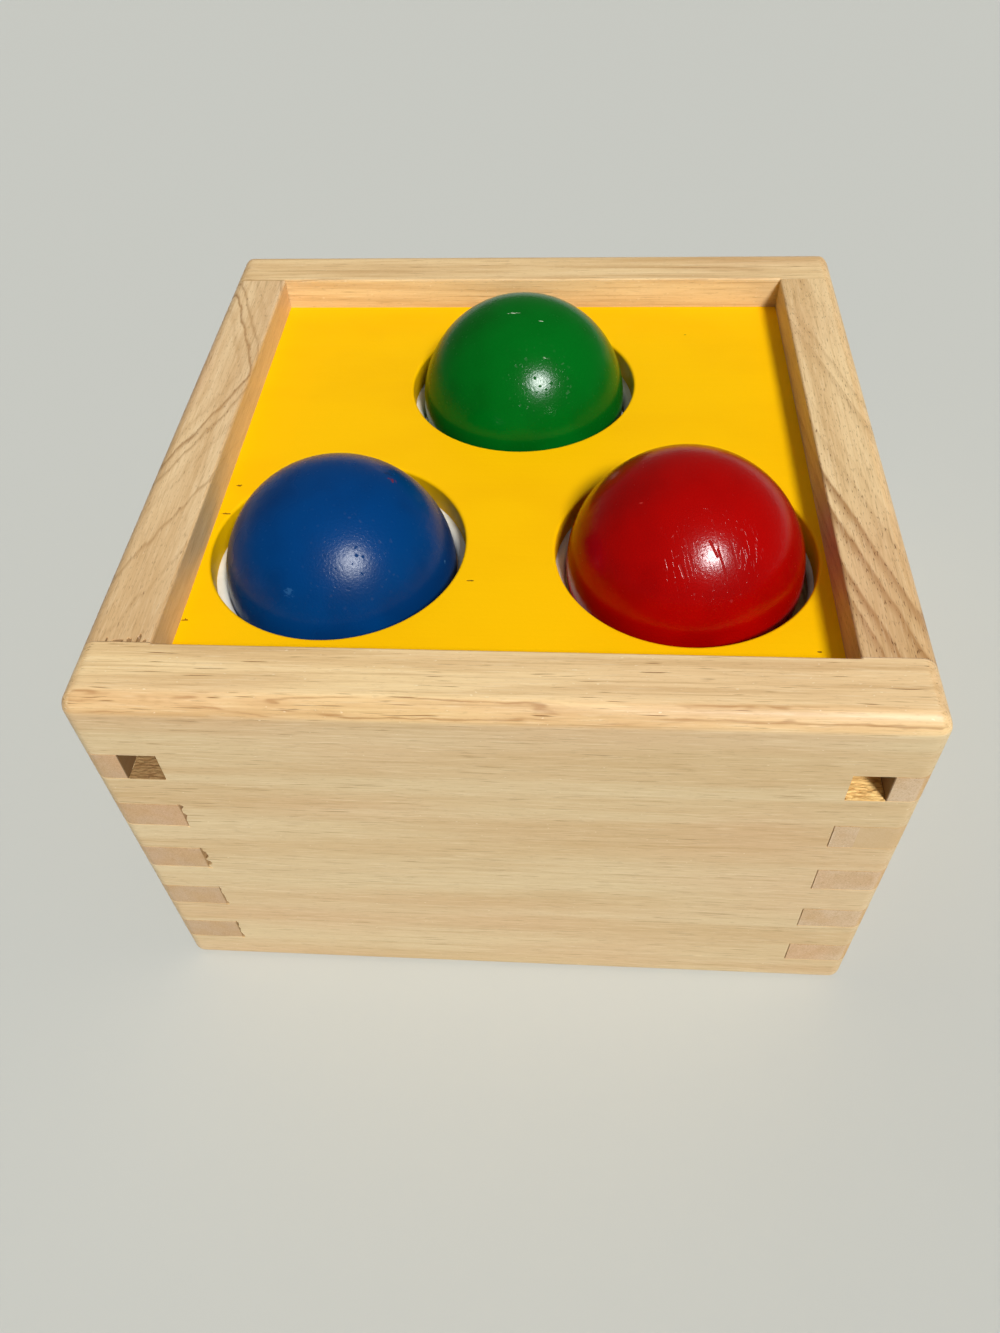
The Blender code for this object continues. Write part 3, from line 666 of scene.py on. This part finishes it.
def outerBlank():
    s = wallSizes
    turns = [math.pi / 2 * i / s["steps"] for i in range(s["steps"] + 1)]
    levels = [(s["bottomRound"] + s["hold"], 0.0)]
    levels += [(s["bottomRound"] * (1 - math.sin(a)), s["bottomRound"] * (1 - math.cos(a))) for a in turns]
    levels += [(0.0, s["bottomRound"] + s["hold"]), (0.0, height - s["topRound"] - s["hold"])]
    for turn in turns:
        angle = s["crease"] + turn * (1 - s["crease"] / (math.pi / 2))
        inset = 1 - math.cos(angle) / math.cos(s["crease"])
        drop = (1 - math.sin(angle)) / (1 - math.sin(s["crease"]))
        levels.append((s["topRound"] * inset, height - s["topRound"] * drop))
    levels.append((s["topRound"] + s["hold"], height))
    rings = []
    for inset, z in levels:
        half = outer - inset
        radius = max(s["corner"] - inset, s["leastCorner"])
        outline = roundedOutline((-half, -half), (half, half), [radius] * 4, s["steps"], s["hold"])
        rings.append([(x, y, z) for x, y in outline])
    bm = bmesh.new()
    addLoft(bm, rings)
    return meshFrom(bm, "blank")


# What is cut away: the carrier's groove, the eased inner rim, the exit at the back, and torn wood
def addGroove(bm):
    s = wallSizes
    reach = inner + s["grooveDepth"]
    past = outer + s["over"]
    side = inner - s["gap"] / 2
    quarter = [(reach, -past), (reach, past), (side, past), (side, reach)]
    outline = quarter + [(-x, y) for x, y in reversed(quarter)]
    half = [(x, y) for x, y in outline if y > 0]
    outline = half + [(-x, -y) for x, y in half]
    levels = (carrierLow.z - s["gap"], carrierHigh.z + s["gap"])
    addLoft(bm, [[(x, y, z) for x, y in outline] for z in levels])


def addInnerEase(bm):
    s = wallSizes
    ease = s["innerEase"]
    levels = [(-s["easeStart"], height - ease - s["easeStart"])]
    for i in range(1, s["steps"] + 1):
        angle = math.pi / 2 * i / s["steps"]
        levels.append((ease * (1 - math.cos(angle)), height - ease * (1 - math.sin(angle))))
    levels.append((ease, height + s["over"]))
    rings = []
    for grow, z in levels:
        half = inner + grow
        rings.append([(half, half, z), (-half, half, z), (-half, -half, z), (half, -half, z)])
    addLoft(bm, rings)


def rampTop(y):
    share = (rampHigh.y - y) / (rampHigh.y - rampLow.y)
    front = rampHigh.z
    back = rampHigh.z - slopeRise
    return back + (front - back) * share


def addExit(bm):
    s = wallSizes
    half = inner - s["exitPost"]
    sill = rampTop(inner) - s["exitDrop"]
    ease = s["exitEase"]
    turns = [math.pi / 2 * i / s["steps"] for i in range(s["steps"] + 1)]
    rounds = [(ease * math.sin(a), ease * (1 - math.cos(math.pi / 2 - a))) for a in turns]
    levels = [(inner - s["over"], ease)]
    levels += [(inner + sunk, grow) for sunk, grow in rounds]
    levels += [(outer - sunk, grow) for sunk, grow in reversed(rounds)]
    levels.append((outer + s["over"], ease))
    radii = [s["exitRound"], s["exitRound"], s["exitFoot"], s["exitFoot"]]
    rings = []
    for y, grow in levels:
        outline = roundedOutline(
            (-half - grow, sill - grow), (half + grow, sill + s["exitTop"] + grow),
            [radius + grow for radius in radii], s["steps"], s["hold"])
        rings.append([(x, y, z) for x, z in outline])
    addLoft(bm, rings)


# Wood torn out by the saw: cracks beside the left fingers on the front (by finger, from the bottom, with
# their width), and nicks along the left wall's front end on top (by their place along X, width and depth
# along Y)
tears = {
    "seed": 11, "taper": 0.45, "proud": 0.4 * mm,
    "fingers": ((0, 0.7), (1, 0.8), (2, 1.3), (3, 1.0)), "steps": 9, "past": 0.5 * mm, "depth": 2.6 * mm,
    "back": 0.15 * mm, "reach": (0.15, 1.0), "waver": (-0.3, 0.3),
    "nicks": (
        (-74.3, 0.3, 1.3), (-72.2, 1.5, 0.9), (-69.9, 0.7, 1.2), (-68.1, 0.55, 2.6), (-66.9, 0.5, 0.9)),
    "nickSteps": 6, "nickDepth": 0.5 * mm, "nickBack": 0.5 * mm,
    "nickWide": (0.7, 1.0), "nickDeep": (0.6, 1.0)}


# A tear is a ragged outline that narrows as it goes in; place turns its two sides and depth into a point
def addTear(bm, outline, depth, place):
    middle = [sum(values) / len(outline) for values in zip(*outline)]
    rings = []
    for sunk, share in ((-tears["proud"], 1.0), (0.0, 1.0), (depth, tears["taper"])):
        rings.append([
            place(middle[0] + (a - middle[0]) * share, middle[1] + (b - middle[1]) * share, sunk)
            for a, b in outline])
    addLoft(bm, rings)


def addFrontTears(bm):
    s = wallSizes
    rng = random.Random(tears["seed"])
    steps = tears["steps"]
    tall = s["finger"] + 2 * tears["past"]
    for number, wide in tears["fingers"]:
        foot = s["firstFinger"] + (s["finger"] + s["between"]) * number - tears["past"]
        up = [(-inner - tears["back"], foot + tall * i / steps) for i in range(steps + 1)]
        down = [
            (-inner + wide * mm * rng.uniform(*tears["reach"]), z + rng.uniform(*tears["waver"]) * mm)
            for x, z in reversed(up)]
        addTear(bm, up + down, tears["depth"], lambda x, z, sunk: (x, -outer + sunk, z))


def addTopNicks(bm):
    rng = random.Random(tears["seed"])
    end = -inner + wallSizes["gap"]
    back = end - tears["nickBack"]
    turns = [math.pi * i / tears["nickSteps"] for i in range(tears["nickSteps"] + 1)]
    for x, wide, deep in tears["nicks"]:
        outline = [(x * mm - wide * mm, back), (x * mm + wide * mm, back)]
        outline += [
            (x * mm + wide * mm * math.cos(a) * rng.uniform(*tears["nickWide"]),
             end + deep * mm * math.sqrt(max(math.sin(a), 0.0)) * rng.uniform(*tears["nickDeep"]))
            for a in turns]
        addTear(bm, outline, tears["nickDepth"], lambda a, b, sunk: (a, b, height - sunk))


# A board of the blank with fingers at both ends, or with sockets sawn for them, less what is cut away
def fingerBoardTree():
    tree, add, given = newTree("fingerBoard", {
        "Board Size": "Vector", "Board Middle": "Vector", "Finger Size": "Vector", "Finger End A": "Vector",
        "Finger End B": "Vector", "First Finger": "Float", "Finger Pitch": "Float", "Fingers": "Int",
        "Sockets": "Bool", "Cutters": "Object", "Finish": "Material"})
    board = add(cubeNode, {"Size": given["Board Size"]})
    board = add(moveNode, {"Geometry": board, "Translation": given["Board Middle"]})
    finger = add(cubeNode, {"Size": given["Finger Size"]})
    lowest = add(joinNode, {2: given["First Finger"]})
    pitch = add(joinNode, {2: given["Finger Pitch"]})
    row = add("GeometryNodeMeshLine", {"Count": given["Fingers"], "Start Location": lowest, "Offset": pitch})
    fingers = add(copiesNode, {"Points": row, "Instance": finger})
    fingers = add(realNode, [fingers])
    sides = [add(moveNode, {"Geometry": fingers, "Translation": given["Finger End " + end]}) for end in "AB"]
    ends = add("GeometryNodeJoinGeometry", [sides])
    sawn = add(booleanNode, {"Mesh 1": board, "Mesh 2": ends}, operation="DIFFERENCE", solver="EXACT")
    grown = add(booleanNode, {"Mesh 2": [board, ends]}, operation="UNION", solver="EXACT")
    comb = add(
        "GeometryNodeSwitch", {"Switch": given["Sockets"], "False": grown, "True": sawn},
        input_type="GEOMETRY")
    shaped = add(booleanNode, {"Mesh 2": [given["Geometry"], comb]}, operation="INTERSECT", solver="EXACT")
    cutters = add("GeometryNodeObjectInfo", {"Object": given["Cutters"]}).outputs["Geometry"]
    carved = add(booleanNode, {"Mesh 1": shaped, "Mesh 2": cutters}, operation="DIFFERENCE", solver="EXACT")
    closeTree(add, carved, given["Finish"])
    return tree


def buildWalls():
    s = wallSizes
    tree = fingerBoardTree()
    thick = outer - inner + s["over"]
    middle = (inner + outer) / 2 + s["over"] / 2
    tall = height + 2 * s["over"]
    socket = outer - inner + s["gap"] + s["over"]
    finger = outer - inner + s["gap"] + 2 * s["over"]
    socketEnd = inner - s["gap"] + socket / 2
    fingerEnd = outer + s["over"] - finger / 2
    wide = 2 * (outer + s["over"])
    short = 2 * (inner - s["gap"])
    boards = []
    for name, y in (("front", -middle), ("back", middle)):
        ends = ((socketEnd, y), (-socketEnd, y))
        boards.append((name, (0, y), (wide, thick), (socket, thick + s["over"]), ends, True))
    for name, x in (("left", -middle), ("right", middle)):
        ends = ((x, fingerEnd), (x, -fingerEnd))
        boards.append((name, (x, 0), (thick, short), (thick, finger), ends, False))
    ownCuts = {"front": addFrontTears, "back": addExit, "left": addTopNicks}
    for name, spot, size, fingerSize, (endA, endB), sockets in boards:
        bm = bmesh.new()
        addGroove(bm)
        addInnerEase(bm)
        if name in ownCuts:
            ownCuts[name](bm)
        cutter = bpy.data.objects.new(name + "Cutters", meshFrom(bm, name + "Cutters"))
        stageObjects.link(cutter)
        wall = growPiece(name + "Wall", outerBlank(), tree, {
            "Board Size": (*size, tall), "Board Middle": (*spot, height / 2),
            "Finger Size": (*fingerSize, s["finger"] + (2 * s["gap"] if sockets else 0.0)),
            "Finger End A": (*endA, 0.0), "Finger End B": (*endB, 0.0),
            "First Finger": s["firstFinger"] + s["finger"] / 2, "Finger Pitch": s["finger"] + s["between"],
            "Fingers": s["count"], "Sockets": sockets, "Cutters": cutter,
            "Finish": rubberwood(name + "Rubberwood", boardCuts[name])})
        bpy.data.objects.remove(cutter)
        dress(wall, "box", "wall_wood", name + "_wall")


# Boards with ball holes: a cutter turned to the hole's rounded edge stands at each ball's place
def holedBoardTree():
    tree, add, given = newTree("boardWithHoles", {
        "Board Size": "Vector", "Board Middle": "Vector", "Hole Radius": "Float", "Edge Round": "Float",
        "Sides": "Int", "Rings": "Int", "Over": "Float", "Finish": "Material"})
    board = add(cubeNode, {"Size": given["Board Size"]})
    board = add(moveNode, {"Geometry": board, "Translation": given["Board Middle"]})
    plug = add("GeometryNodeMeshCylinder", {
        "Vertices": given["Sides"], "Side Segments": given["Rings"], "Radius": 1.0, "Depth": 1.0})
    spot = add(splitNode, [add("GeometryNodeInputPosition")]).outputs
    size = add(splitNode, [given["Board Size"]]).outputs
    centre = add(splitNode, [given["Board Middle"]]).outputs
    top = add(mathNode, [size["Z"], 0.5, centre["Z"]], operation="MULTIPLY_ADD")
    base = add(mathNode, [size["Z"], -0.5, centre["Z"]], operation="MULTIPLY_ADD")
    foot = add(mathNode, [base, given["Over"]], operation="SUBTRACT")
    spring = add(mathNode, [top, given["Edge Round"]], operation="SUBTRACT")
    oneRing = add(mathNode, [1.0, given["Rings"]], operation="DIVIDE")
    bottomRing = add(mathNode, [oneRing, 0.5], operation="SUBTRACT")
    topRing = add(mathNode, [0.5, oneRing], operation="SUBTRACT")
    # The lowest ring stands under the board, the highest over it, and the rest follow a quarter turn
    below = add(rangeNode, [spot["Z"], -0.5, bottomRing, foot, spring])
    above = add(rangeNode, [spot["Z"], topRing, 0.5, 0.0, given["Over"]])
    turn = add(rangeNode, [spot["Z"], bottomRing, topRing, 0.0, math.pi / 2])
    sine = add(mathNode, [turn], operation="SINE")
    cosine = add(mathNode, [turn], operation="COSINE")
    lifted = add(mathNode, [sine, given["Edge Round"], below], operation="MULTIPLY_ADD")
    plugHeight = add(mathNode, [lifted, above], operation="ADD")
    flare = add(mathNode, [1.0, cosine], operation="SUBTRACT")
    plugRadius = add(mathNode, [flare, given["Edge Round"], given["Hole Radius"]], operation="MULTIPLY_ADD")
    sides = [add(mathNode, [spot[axis], plugRadius], operation="MULTIPLY") for axis in "XY"]
    plug = add(shapeNode, {"Geometry": plug, "Position": add(joinNode, [*sides, plugHeight])})
    stretch = add("GeometryNodeInputNamedAttribute", {"Name": "stretch"}, data_type="FLOAT_VECTOR")
    plugs = add(copiesNode, {"Points": given["Geometry"], "Instance": plug, "Scale": stretch})
    plugs = add(realNode, [plugs])
    drilled = add(booleanNode, {"Mesh 1": board, "Mesh 2": plugs}, operation="DIFFERENCE", solver="EXACT")
    closeTree(add, drilled, given["Finish"])
    return tree


# The paint fills most of the plate's gap to the walls. The red ball has pulled its hole in the rubber wider:
# by how far its middle moved in X and Y, and its stretch.
holePlug = {"Sides": 160, "Rings": 14, "Over": 1.0 * mm}
holedBoards = {
    "topPlate": {
        "node": "top_plate", "slot": "yellow_paint", "hole": 27.3 * mm, "round": 0.7 * mm,
        "paint": 0.29 * mm, "pulled": {}},
    "rubberSheet": {
        "node": "rubber_sheet", "slot": "white_rubber", "hole": 25.12 * mm, "round": 1.5 * mm,
        "paint": 0.0, "pulled": {"red": (0.7 * mm, -0.1 * mm, 1.025)}},
    "carrierBoard": {
        "node": "carrier_board", "slot": "plywood", "hole": 27.3 * mm, "round": 0.3 * mm,
        "paint": 0.0, "pulled": {}}}


def buildHoledBoards(finishes):
    tree = holedBoardTree()
    for name, board in holedBoards.items():
        low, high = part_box(board["node"])
        places = bpy.data.meshes.new(name + "Places")
        pulls = [board["pulled"].get(colour, (0.0, 0.0, 1.0)) for colour in ballMiddles]
        spots = [(spot.x + x, spot.y + y, 0.0) for spot, (x, y, wide) in zip(ballMiddles.values(), pulls)]
        places.from_pydata(spots, [], [])
        stretch = places.attributes.new("stretch", "FLOAT_VECTOR", "POINT")
        for item, (x, y, wide) in zip(stretch.data, pulls):
            item.vector = (wide, wide, 1.0)
        piece = growPiece(name, places, tree, {
            **holePlug, "Board Size": tuple(high - low + 2 * Vector((board["paint"], board["paint"], 0.0))),
            "Board Middle": tuple((high + low) / 2), "Hole Radius": board["hole"],
            "Edge Round": board["round"], "Finish": finishes[name]})
        dress(piece, "box", board["slot"], board["node"])


# Balls: an even net of faces, pushed out of round by a hair and dented where the turned wood had pores
ballShape = {
    "net": 6, "sway": 0.06 * mm, "lumpScale": 0.05, "lumps": (0.25, 0.75, -1.0, 0.0),
    "dent": 0.10 * mm, "poreScale": 0.17, "pores": (0.08, 0.20, -1.0, 0.0), "sharpAngle": 60,
    "seeds": {"blue": 2.0, "green": 5.0, "red": 9.0}}


def turnedBallTree():
    s = ballShape
    tree, add, given = newTree("turnedBall", {
        "Radius": "Float", "Centre": "Vector", "Net": "Int", "Sway": "Float", "Dent": "Float",
        "Seed": "Float", "Finish": "Material"})
    net = add("GeometryNodeMeshIcoSphere", {"Radius": given["Radius"], "Subdivisions": given["Net"]})
    scaled = add(vectorNode, [add("GeometryNodeInputPosition"), (1 / mm,) * 3], operation="MULTIPLY")
    pattern = {"Vector": scaled, "W": given["Seed"]}
    lumps = add(noiseNode, {**pattern, "Scale": s["lumpScale"], "Detail": 1.0}, noise_dimensions="4D")
    lump = add(rangeNode, [lumps, *s["lumps"]])
    sway = add(mathNode, [lump, given["Sway"]], operation="MULTIPLY")
    pores = add("ShaderNodeTexVoronoi", {**pattern, "Scale": s["poreScale"]}, voronoi_dimensions="4D")
    pit = add(rangeNode, [pores.outputs["Distance"], *s["pores"]], **smooth)
    push = add(mathNode, [pit, given["Dent"], sway], operation="MULTIPLY_ADD")
    offset = add(vectorNode, {0: add("GeometryNodeInputNormal"), "Scale": push}, operation="SCALE")
    shaped = add(shapeNode, {"Geometry": net, "Offset": offset})
    placed = add(moveNode, {"Geometry": shaped, "Translation": given["Centre"]})
    closeTree(add, placed, given["Finish"])
    return tree


def buildBalls():
    s = ballShape
    tree = turnedBallTree()
    for colour, middle in ballMiddles.items():
        piece = growPiece(colour + "Ball", bpy.data.meshes.new(colour + "Start"), tree, {
            "Radius": ballRadius, "Centre": tuple(middle), "Net": s["net"], "Sway": s["sway"],
            "Dent": s["dent"], "Seed": s["seeds"][colour],
            "Finish": glossEnamel(colour + "Enamel", colour, middle)}, s["sharpAngle"])
        dress(piece, colour + "_ball", colour + "_enamel", "ball_" + colour)


# Wood screws: a threaded, pointed shank under a countersunk head with a cross recess
screwSizes = {
    "Shank": 1.5 * mm, "Head": 3.0 * mm, "Head Height": 1.8 * mm, "Land": 0.4 * mm, "Tip": 2.5 * mm,
    "Thread": 0.45 * mm, "Thread Pitch": 1.2 * mm, "Recess": 0.7 * mm, "Recess Depth": 1.1 * mm}
screwMesh = {"sides": 28, "rings": 110, "pointShare": 0.05, "slotShare": 1.15, "headDepth": 0.05 * mm}


def woodScrewTree():
    s = screwMesh
    tree, add, given = newTree("woodScrew", {
        "Length": "Float", **dict.fromkeys(screwSizes, "Float"), "Turn": "Rotation", "Finish": "Material"})
    rod = add("GeometryNodeMeshCylinder", {
        "Vertices": s["sides"], "Side Segments": s["rings"], "Radius": 1.0, "Depth": 1.0})
    spot = add(splitNode, [add("GeometryNodeInputPosition")]).outputs
    sunk = add(mathNode, [0.5, spot["Z"]], operation="SUBTRACT")
    down = add(mathNode, [sunk, given["Length"]], operation="MULTIPLY")
    cone = add(rangeNode, [down, given["Land"], given["Head Height"], given["Head"], given["Shank"]])
    tipStart = add(mathNode, [given["Length"], given["Tip"]], operation="SUBTRACT")
    point = add(rangeNode, [down, tipStart, given["Length"], 1.0, s["pointShare"]])
    around = add(mathNode, [spot["Y"], spot["X"]], operation="ARCTAN2")
    turnShare = add(mathNode, [around, 2 * math.pi], operation="DIVIDE")
    turnCount = add(mathNode, [down, given["Thread Pitch"]], operation="DIVIDE")
    winding = add(mathNode, [turnCount, turnShare], operation="ADD")
    ridge = add(mathNode, [winding, 0.5], operation="PINGPONG")
    neck = add(mathNode, [given["Head Height"], given["Thread Pitch"]], operation="ADD")
    threaded = add(rangeNode, [down, given["Head Height"], neck, 0.0, given["Thread"]])
    valley = add(mathNode, [ridge, threaded], operation="MULTIPLY")
    core = add(mathNode, [cone, valley], operation="SUBTRACT")
    radius = add(mathNode, [core, point], operation="MULTIPLY")
    sides = [add(mathNode, [spot[axis], radius], operation="MULTIPLY") for axis in "XY"]
    sides.append(add(mathNode, [down, -1.0], operation="MULTIPLY"))
    rod = add(shapeNode, {"Geometry": rod, "Position": add(joinNode, sides)})
    slotLength = add(mathNode, [given["Head"], s["slotShare"]], operation="MULTIPLY")
    slotDepth = add(mathNode, [given["Recess Depth"], 2.0], operation="MULTIPLY")
    slotSizes = ((slotLength, given["Recess"]), (given["Recess"], slotLength))
    slots = [add(cubeNode, {"Size": add(joinNode, [*size, slotDepth])}) for size in slotSizes]
    cross = add(booleanNode, {"Mesh 2": slots}, operation="UNION", solver="EXACT")
    screw = add(booleanNode, {"Mesh 1": rod, "Mesh 2": cross}, operation="DIFFERENCE", solver="EXACT")
    screws = add(copiesNode, {"Points": given["Geometry"], "Instance": screw, "Rotation": given["Turn"]})
    closeTree(add, screws, given["Finish"])
    return tree


def buildScrews(finish):
    tree = woodScrewTree()
    rampUp = Vector((0.0, math.sin(slopeAngle), math.cos(slopeAngle)))
    rampLean = screwSizes["Head"] * math.tan(slopeAngle)
    sets = (
        ("clampScrews", "clamp_screw_", 6, (math.pi, 0.0, 0.0), Vector((0.0, 0.0, -1.0)), 1.0, 0.0),
        ("rampScrews", "ramp_screw_", 4, (-slopeAngle, 0.0, 0.0), rampUp, math.cos(slopeAngle), rampLean))
    for name, prefix, count, turn, up, upright, lean in sets:
        nodes = [prefix + str(i + 1) for i in range(count)]
        heads = []
        for node in nodes:
            # The head's face is what lies within a hair of the screw's head end
            verts = [v.co for v in frame["nodes"][node].data.vertices]
            best = max(co.dot(up) for co in verts)
            face = [co for co in verts if co.dot(up) > best - screwMesh["headDepth"]]
            low = Vector(map(min, zip(*face)))
            high = Vector(map(max, zip(*face)))
            heads.append(tuple((low + high) / 2))
        low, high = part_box(nodes[0])
        places = bpy.data.meshes.new(name + "Places")
        places.from_pydata(heads, [], [])
        piece = growPiece(name, places, tree, {
            **screwSizes, "Length": (high.z - low.z) / upright - lean, "Turn": turn, "Finish": finish})
        dress(piece, "box", "zinc_steel", *nodes)


# Ramp and cleats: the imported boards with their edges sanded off
softBoards = {
    "rampBoard": {"node": "ramp_board", "slot": "plywood", "ease": 0.4 * mm},
    "leftCleat": {"node": "left_cleat", "slot": "cleat_wood", "ease": 0.5 * mm},
    "rightCleat": {"node": "right_cleat", "slot": "cleat_wood", "ease": 0.5 * mm}}
sanding = {"merge": 0.002 * mm, "flat": 1, "edge": 50, "shortest": 2 * mm, "segments": 3, "sharpAngle": 28}


def buildSoftBoards(finishes):
    s = sanding
    for name, board in softBoards.items():
        bm = bmesh.new()
        bm.from_mesh(frame["nodes"][board["node"]].data)
        bmesh.ops.remove_doubles(bm, verts=bm.verts, dist=s["merge"])
        bmesh.ops.dissolve_limit(bm, angle_limit=math.radians(s["flat"]), verts=bm.verts, edges=bm.edges)
        edgeAngle = math.radians(s["edge"])
        rim = [e for e in bm.edges if e.calc_face_angle(0) > edgeAngle and e.calc_length() > s["shortest"]]
        bmesh.ops.bevel(
            bm, geom=rim, offset=board["ease"], segments=s["segments"], profile=0.5, affect="EDGES",
            clamp_overlap=True)
        mesh = bpy.data.meshes.new(name)
        bm.to_mesh(mesh)
        bm.free()
        mesh.materials.clear()
        mesh.materials.append(finishes[name])
        for face in mesh.polygons:
            face.material_index = 0
        piece = bpy.data.objects.new(name, mesh)
        stageObjects.link(piece)
        shadePiece(piece, s["sharpAngle"])
        dress(piece, "box", board["slot"], board["node"])


# The open ends of the groove show raw sawn wood on their floors: torn fibres along X
rawPatch = {
    "thick": 0.9 * mm, "rough": 0.45 * mm, "inset": 0.15 * mm, "proud": 0.35 * mm, "seed": 4.0, "net": 60,
    "fibres": (0.5 / mm, 1.6 / mm, 0.0), "torn": (0.7, 0.3), "upper": 0.2, "sharpAngle": 50}


def rawFloorTree():
    s = rawPatch
    tree, add, given = newTree("rawFloor", {
        "Patch": "Vector", "Rough": "Float", "Seed": "Float", "Finish": "Material"})
    patch = add(cubeNode, {
        "Size": given["Patch"], "Vertices X": s["net"], "Vertices Y": s["net"], "Vertices Z": 2})
    patches = add(copiesNode, {"Points": given["Geometry"], "Instance": patch})
    patches = add(realNode, [patches])
    fibrous = add(vectorNode, [add("GeometryNodeInputPosition"), s["fibres"]], operation="MULTIPLY")
    torn = add(
        noiseNode, {"Vector": fibrous, "W": given["Seed"], "Scale": 1.0, "Detail": 3.0},
        noise_dimensions="4D")
    sunk = add(rangeNode, [torn, *s["torn"]])
    facing = add(splitNode, [add("GeometryNodeInputNormal")])
    upper = add(mathNode, [facing.outputs["Z"], s["upper"]], operation="GREATER_THAN")
    for factor in (given["Rough"], upper, -1.0):
        sunk = add(mathNode, [sunk, factor], operation="MULTIPLY")
    rough = add(shapeNode, {"Geometry": patches, "Offset": add(joinNode, {2: sunk})})
    closeTree(add, rough, given["Finish"])
    return tree


def buildRawFloors(finish):
    s = rawPatch
    wide = wallSizes["grooveDepth"] - s["inset"]
    long = outer - carrierHigh.y - s["inset"]
    x = inner + wallSizes["grooveDepth"] / 2
    y = (outer + carrierHigh.y) / 2
    z = carrierLow.z - wallSizes["gap"] + s["proud"] - s["thick"] / 2
    places = bpy.data.meshes.new("rawFloorPlaces")
    places.from_pydata([(side * x, end * y, z) for side in (-1, 1) for end in (-1, 1)], [], [])
    piece = growPiece("rawFloors", places, rawFloorTree(), {
        "Patch": (wide, long, s["thick"]), "Rough": s["rough"], "Seed": s["seed"], "Finish": finish},
        s["sharpAngle"])
    dress(piece, "box", "wall_wood")


buildWalls()
buildHoledBoards({
    "topPlate": satinPaint("yellowPaint"), "rubberSheet": latexSheet("whiteLatex"),
    "carrierBoard": rawBoard("carrierPly")})
buildBalls()
buildScrews(zincSteel("zincSteel"))
cleatPine = rawBoard("cleatPine")
buildSoftBoards({"rampBoard": rawBoard("rampPly"), "leftCleat": cleatPine, "rightCleat": cleatPine})
buildRawFloors(rawSawn("rawSawn"))

# Studio: pale floor, one soft lamp from the front right, a weak one from behind, even light from all round
studio = {
    "floor": "#C7CCCB", "floorSize": 30.0,
    "lamps": {
        "lamp": {"from": (0.345, -0.585, 0.735), "energy": 3.35, "angle": 13, "colour": "#FFFBF5",
                 "misses": ()},
        "gleam": {"from": (0.345, -0.585, 0.735), "energy": 6.8, "angle": 20, "colour": "#F2F8FC",
                  "misses": ("visible_diffuse",)},
        "fill": {"from": (-0.45, 0.80, 0.40), "energy": 0.35, "angle": 80, "colour": "#FFF8EC",
                 "misses": ("visible_glossy",)}},
    "room": "#FFF8EC", "horizon": 0.03, "zenith": 0.245, "backdrop": "#C7C8C1",
    "mirrored": (0.0, 0.40, 0.32, 0.20)}


def buildStudio():
    s = studio
    bm = bmesh.new()
    bmesh.ops.create_grid(bm, x_segments=1, y_segments=1, size=s["floorSize"] / 2)
    floor = bpy.data.objects.new("floor", meshFrom(bm, "floor"))
    stageObjects.link(floor)
    material = newMaterial("paleFloor")[0]
    shader = material.node_tree.nodes["Principled BSDF"]
    setInputs(shader, {"Base Color": hexColour(s["floor"]), "Specular IOR Level": 0.0})
    floor.data.materials.append(material)

    # The gleam only adds to highlights, and the weak fill from behind makes none
    for name, lamp in s["lamps"].items():
        light = bpy.data.lights.new(name, "SUN")
        light.energy = lamp["energy"]
        light.angle = math.radians(lamp["angle"])
        light.color = hexColour(lamp["colour"])[:3]
        lampObject = bpy.data.objects.new(name, light)
        lampObject.rotation_euler = (-Vector(lamp["from"])).to_track_quat("-Z", "Y").to_euler()
        for kind in lamp["misses"]:
            setattr(lampObject, kind, False)
        stageObjects.link(lampObject)

    # The camera sees an even backdrop; reflections see it dim towards the ceiling
    world = bpy.data.worlds.new("room")
    world.use_nodes = True
    bpy.context.scene.world = world
    add = partial(addNode, world.node_tree)
    path = add("ShaderNodeLightPath").outputs
    mirrored = add(mathNode, [path["Is Transmission Ray"], path["Is Glossy Ray"]], operation="MAXIMUM")
    seen = add(mathNode, [path["Is Camera Ray"], mirrored], operation="MAXIMUM")
    coords = add("ShaderNodeTexCoord")
    upward = add(splitNode, [coords.outputs["Generated"]]).outputs["Z"]
    dome = add(rangeNode, {"Value": upward, "To Min": s["horizon"], "To Max": s["zenith"]})
    overhead = add(rangeNode, [upward, *s["mirrored"]], **smooth)
    backdrop = add(rangeNode, {"Value": mirrored, "To Min": 1.0, "To Max": overhead})
    level = add(rangeNode, {"Value": seen, "To Min": dome, "To Max": backdrop})
    shades = {0: seen, 6: hexColour(s["room"]), 7: hexColour(s["backdrop"])}
    shade = add("ShaderNodeMix", shades, data_type="RGBA").outputs[2]
    setInputs(world.node_tree.nodes["Background"], {"Strength": level, "Color": shade})


# Camera: solved from the photograph's rim, joints and holes
cameraView = {
    "place": (13.790 * mm, -192.894 * mm, 245.983 * mm), "yaw": 6.0682, "pitch": 40.6605, "roll": -3.3519,
    "lens": 28.351, "sensor": 36.0, "nearest": 10 * mm}


def buildCamera():
    s = cameraView
    data = bpy.data.cameras.new("camera")
    data.lens = s["lens"]
    data.sensor_width = s["sensor"]
    data.clip_start = s["nearest"]
    camera = bpy.data.objects.new("camera", data)
    turn = Euler((0.0, 0.0, math.radians(s["yaw"]))).to_matrix()
    turn = turn @ Euler((math.radians(s["pitch"]), 0.0, 0.0)).to_matrix()
    turn = turn @ Euler((0.0, 0.0, math.radians(s["roll"]))).to_matrix()
    camera.matrix_world = turn.to_4x4()
    camera.location = s["place"]
    stageObjects.link(camera)
    bpy.context.scene.camera = camera


buildStudio()
buildCamera()
bpy.context.scene.view_settings.view_transform = "Standard"
print("studio and camera set")
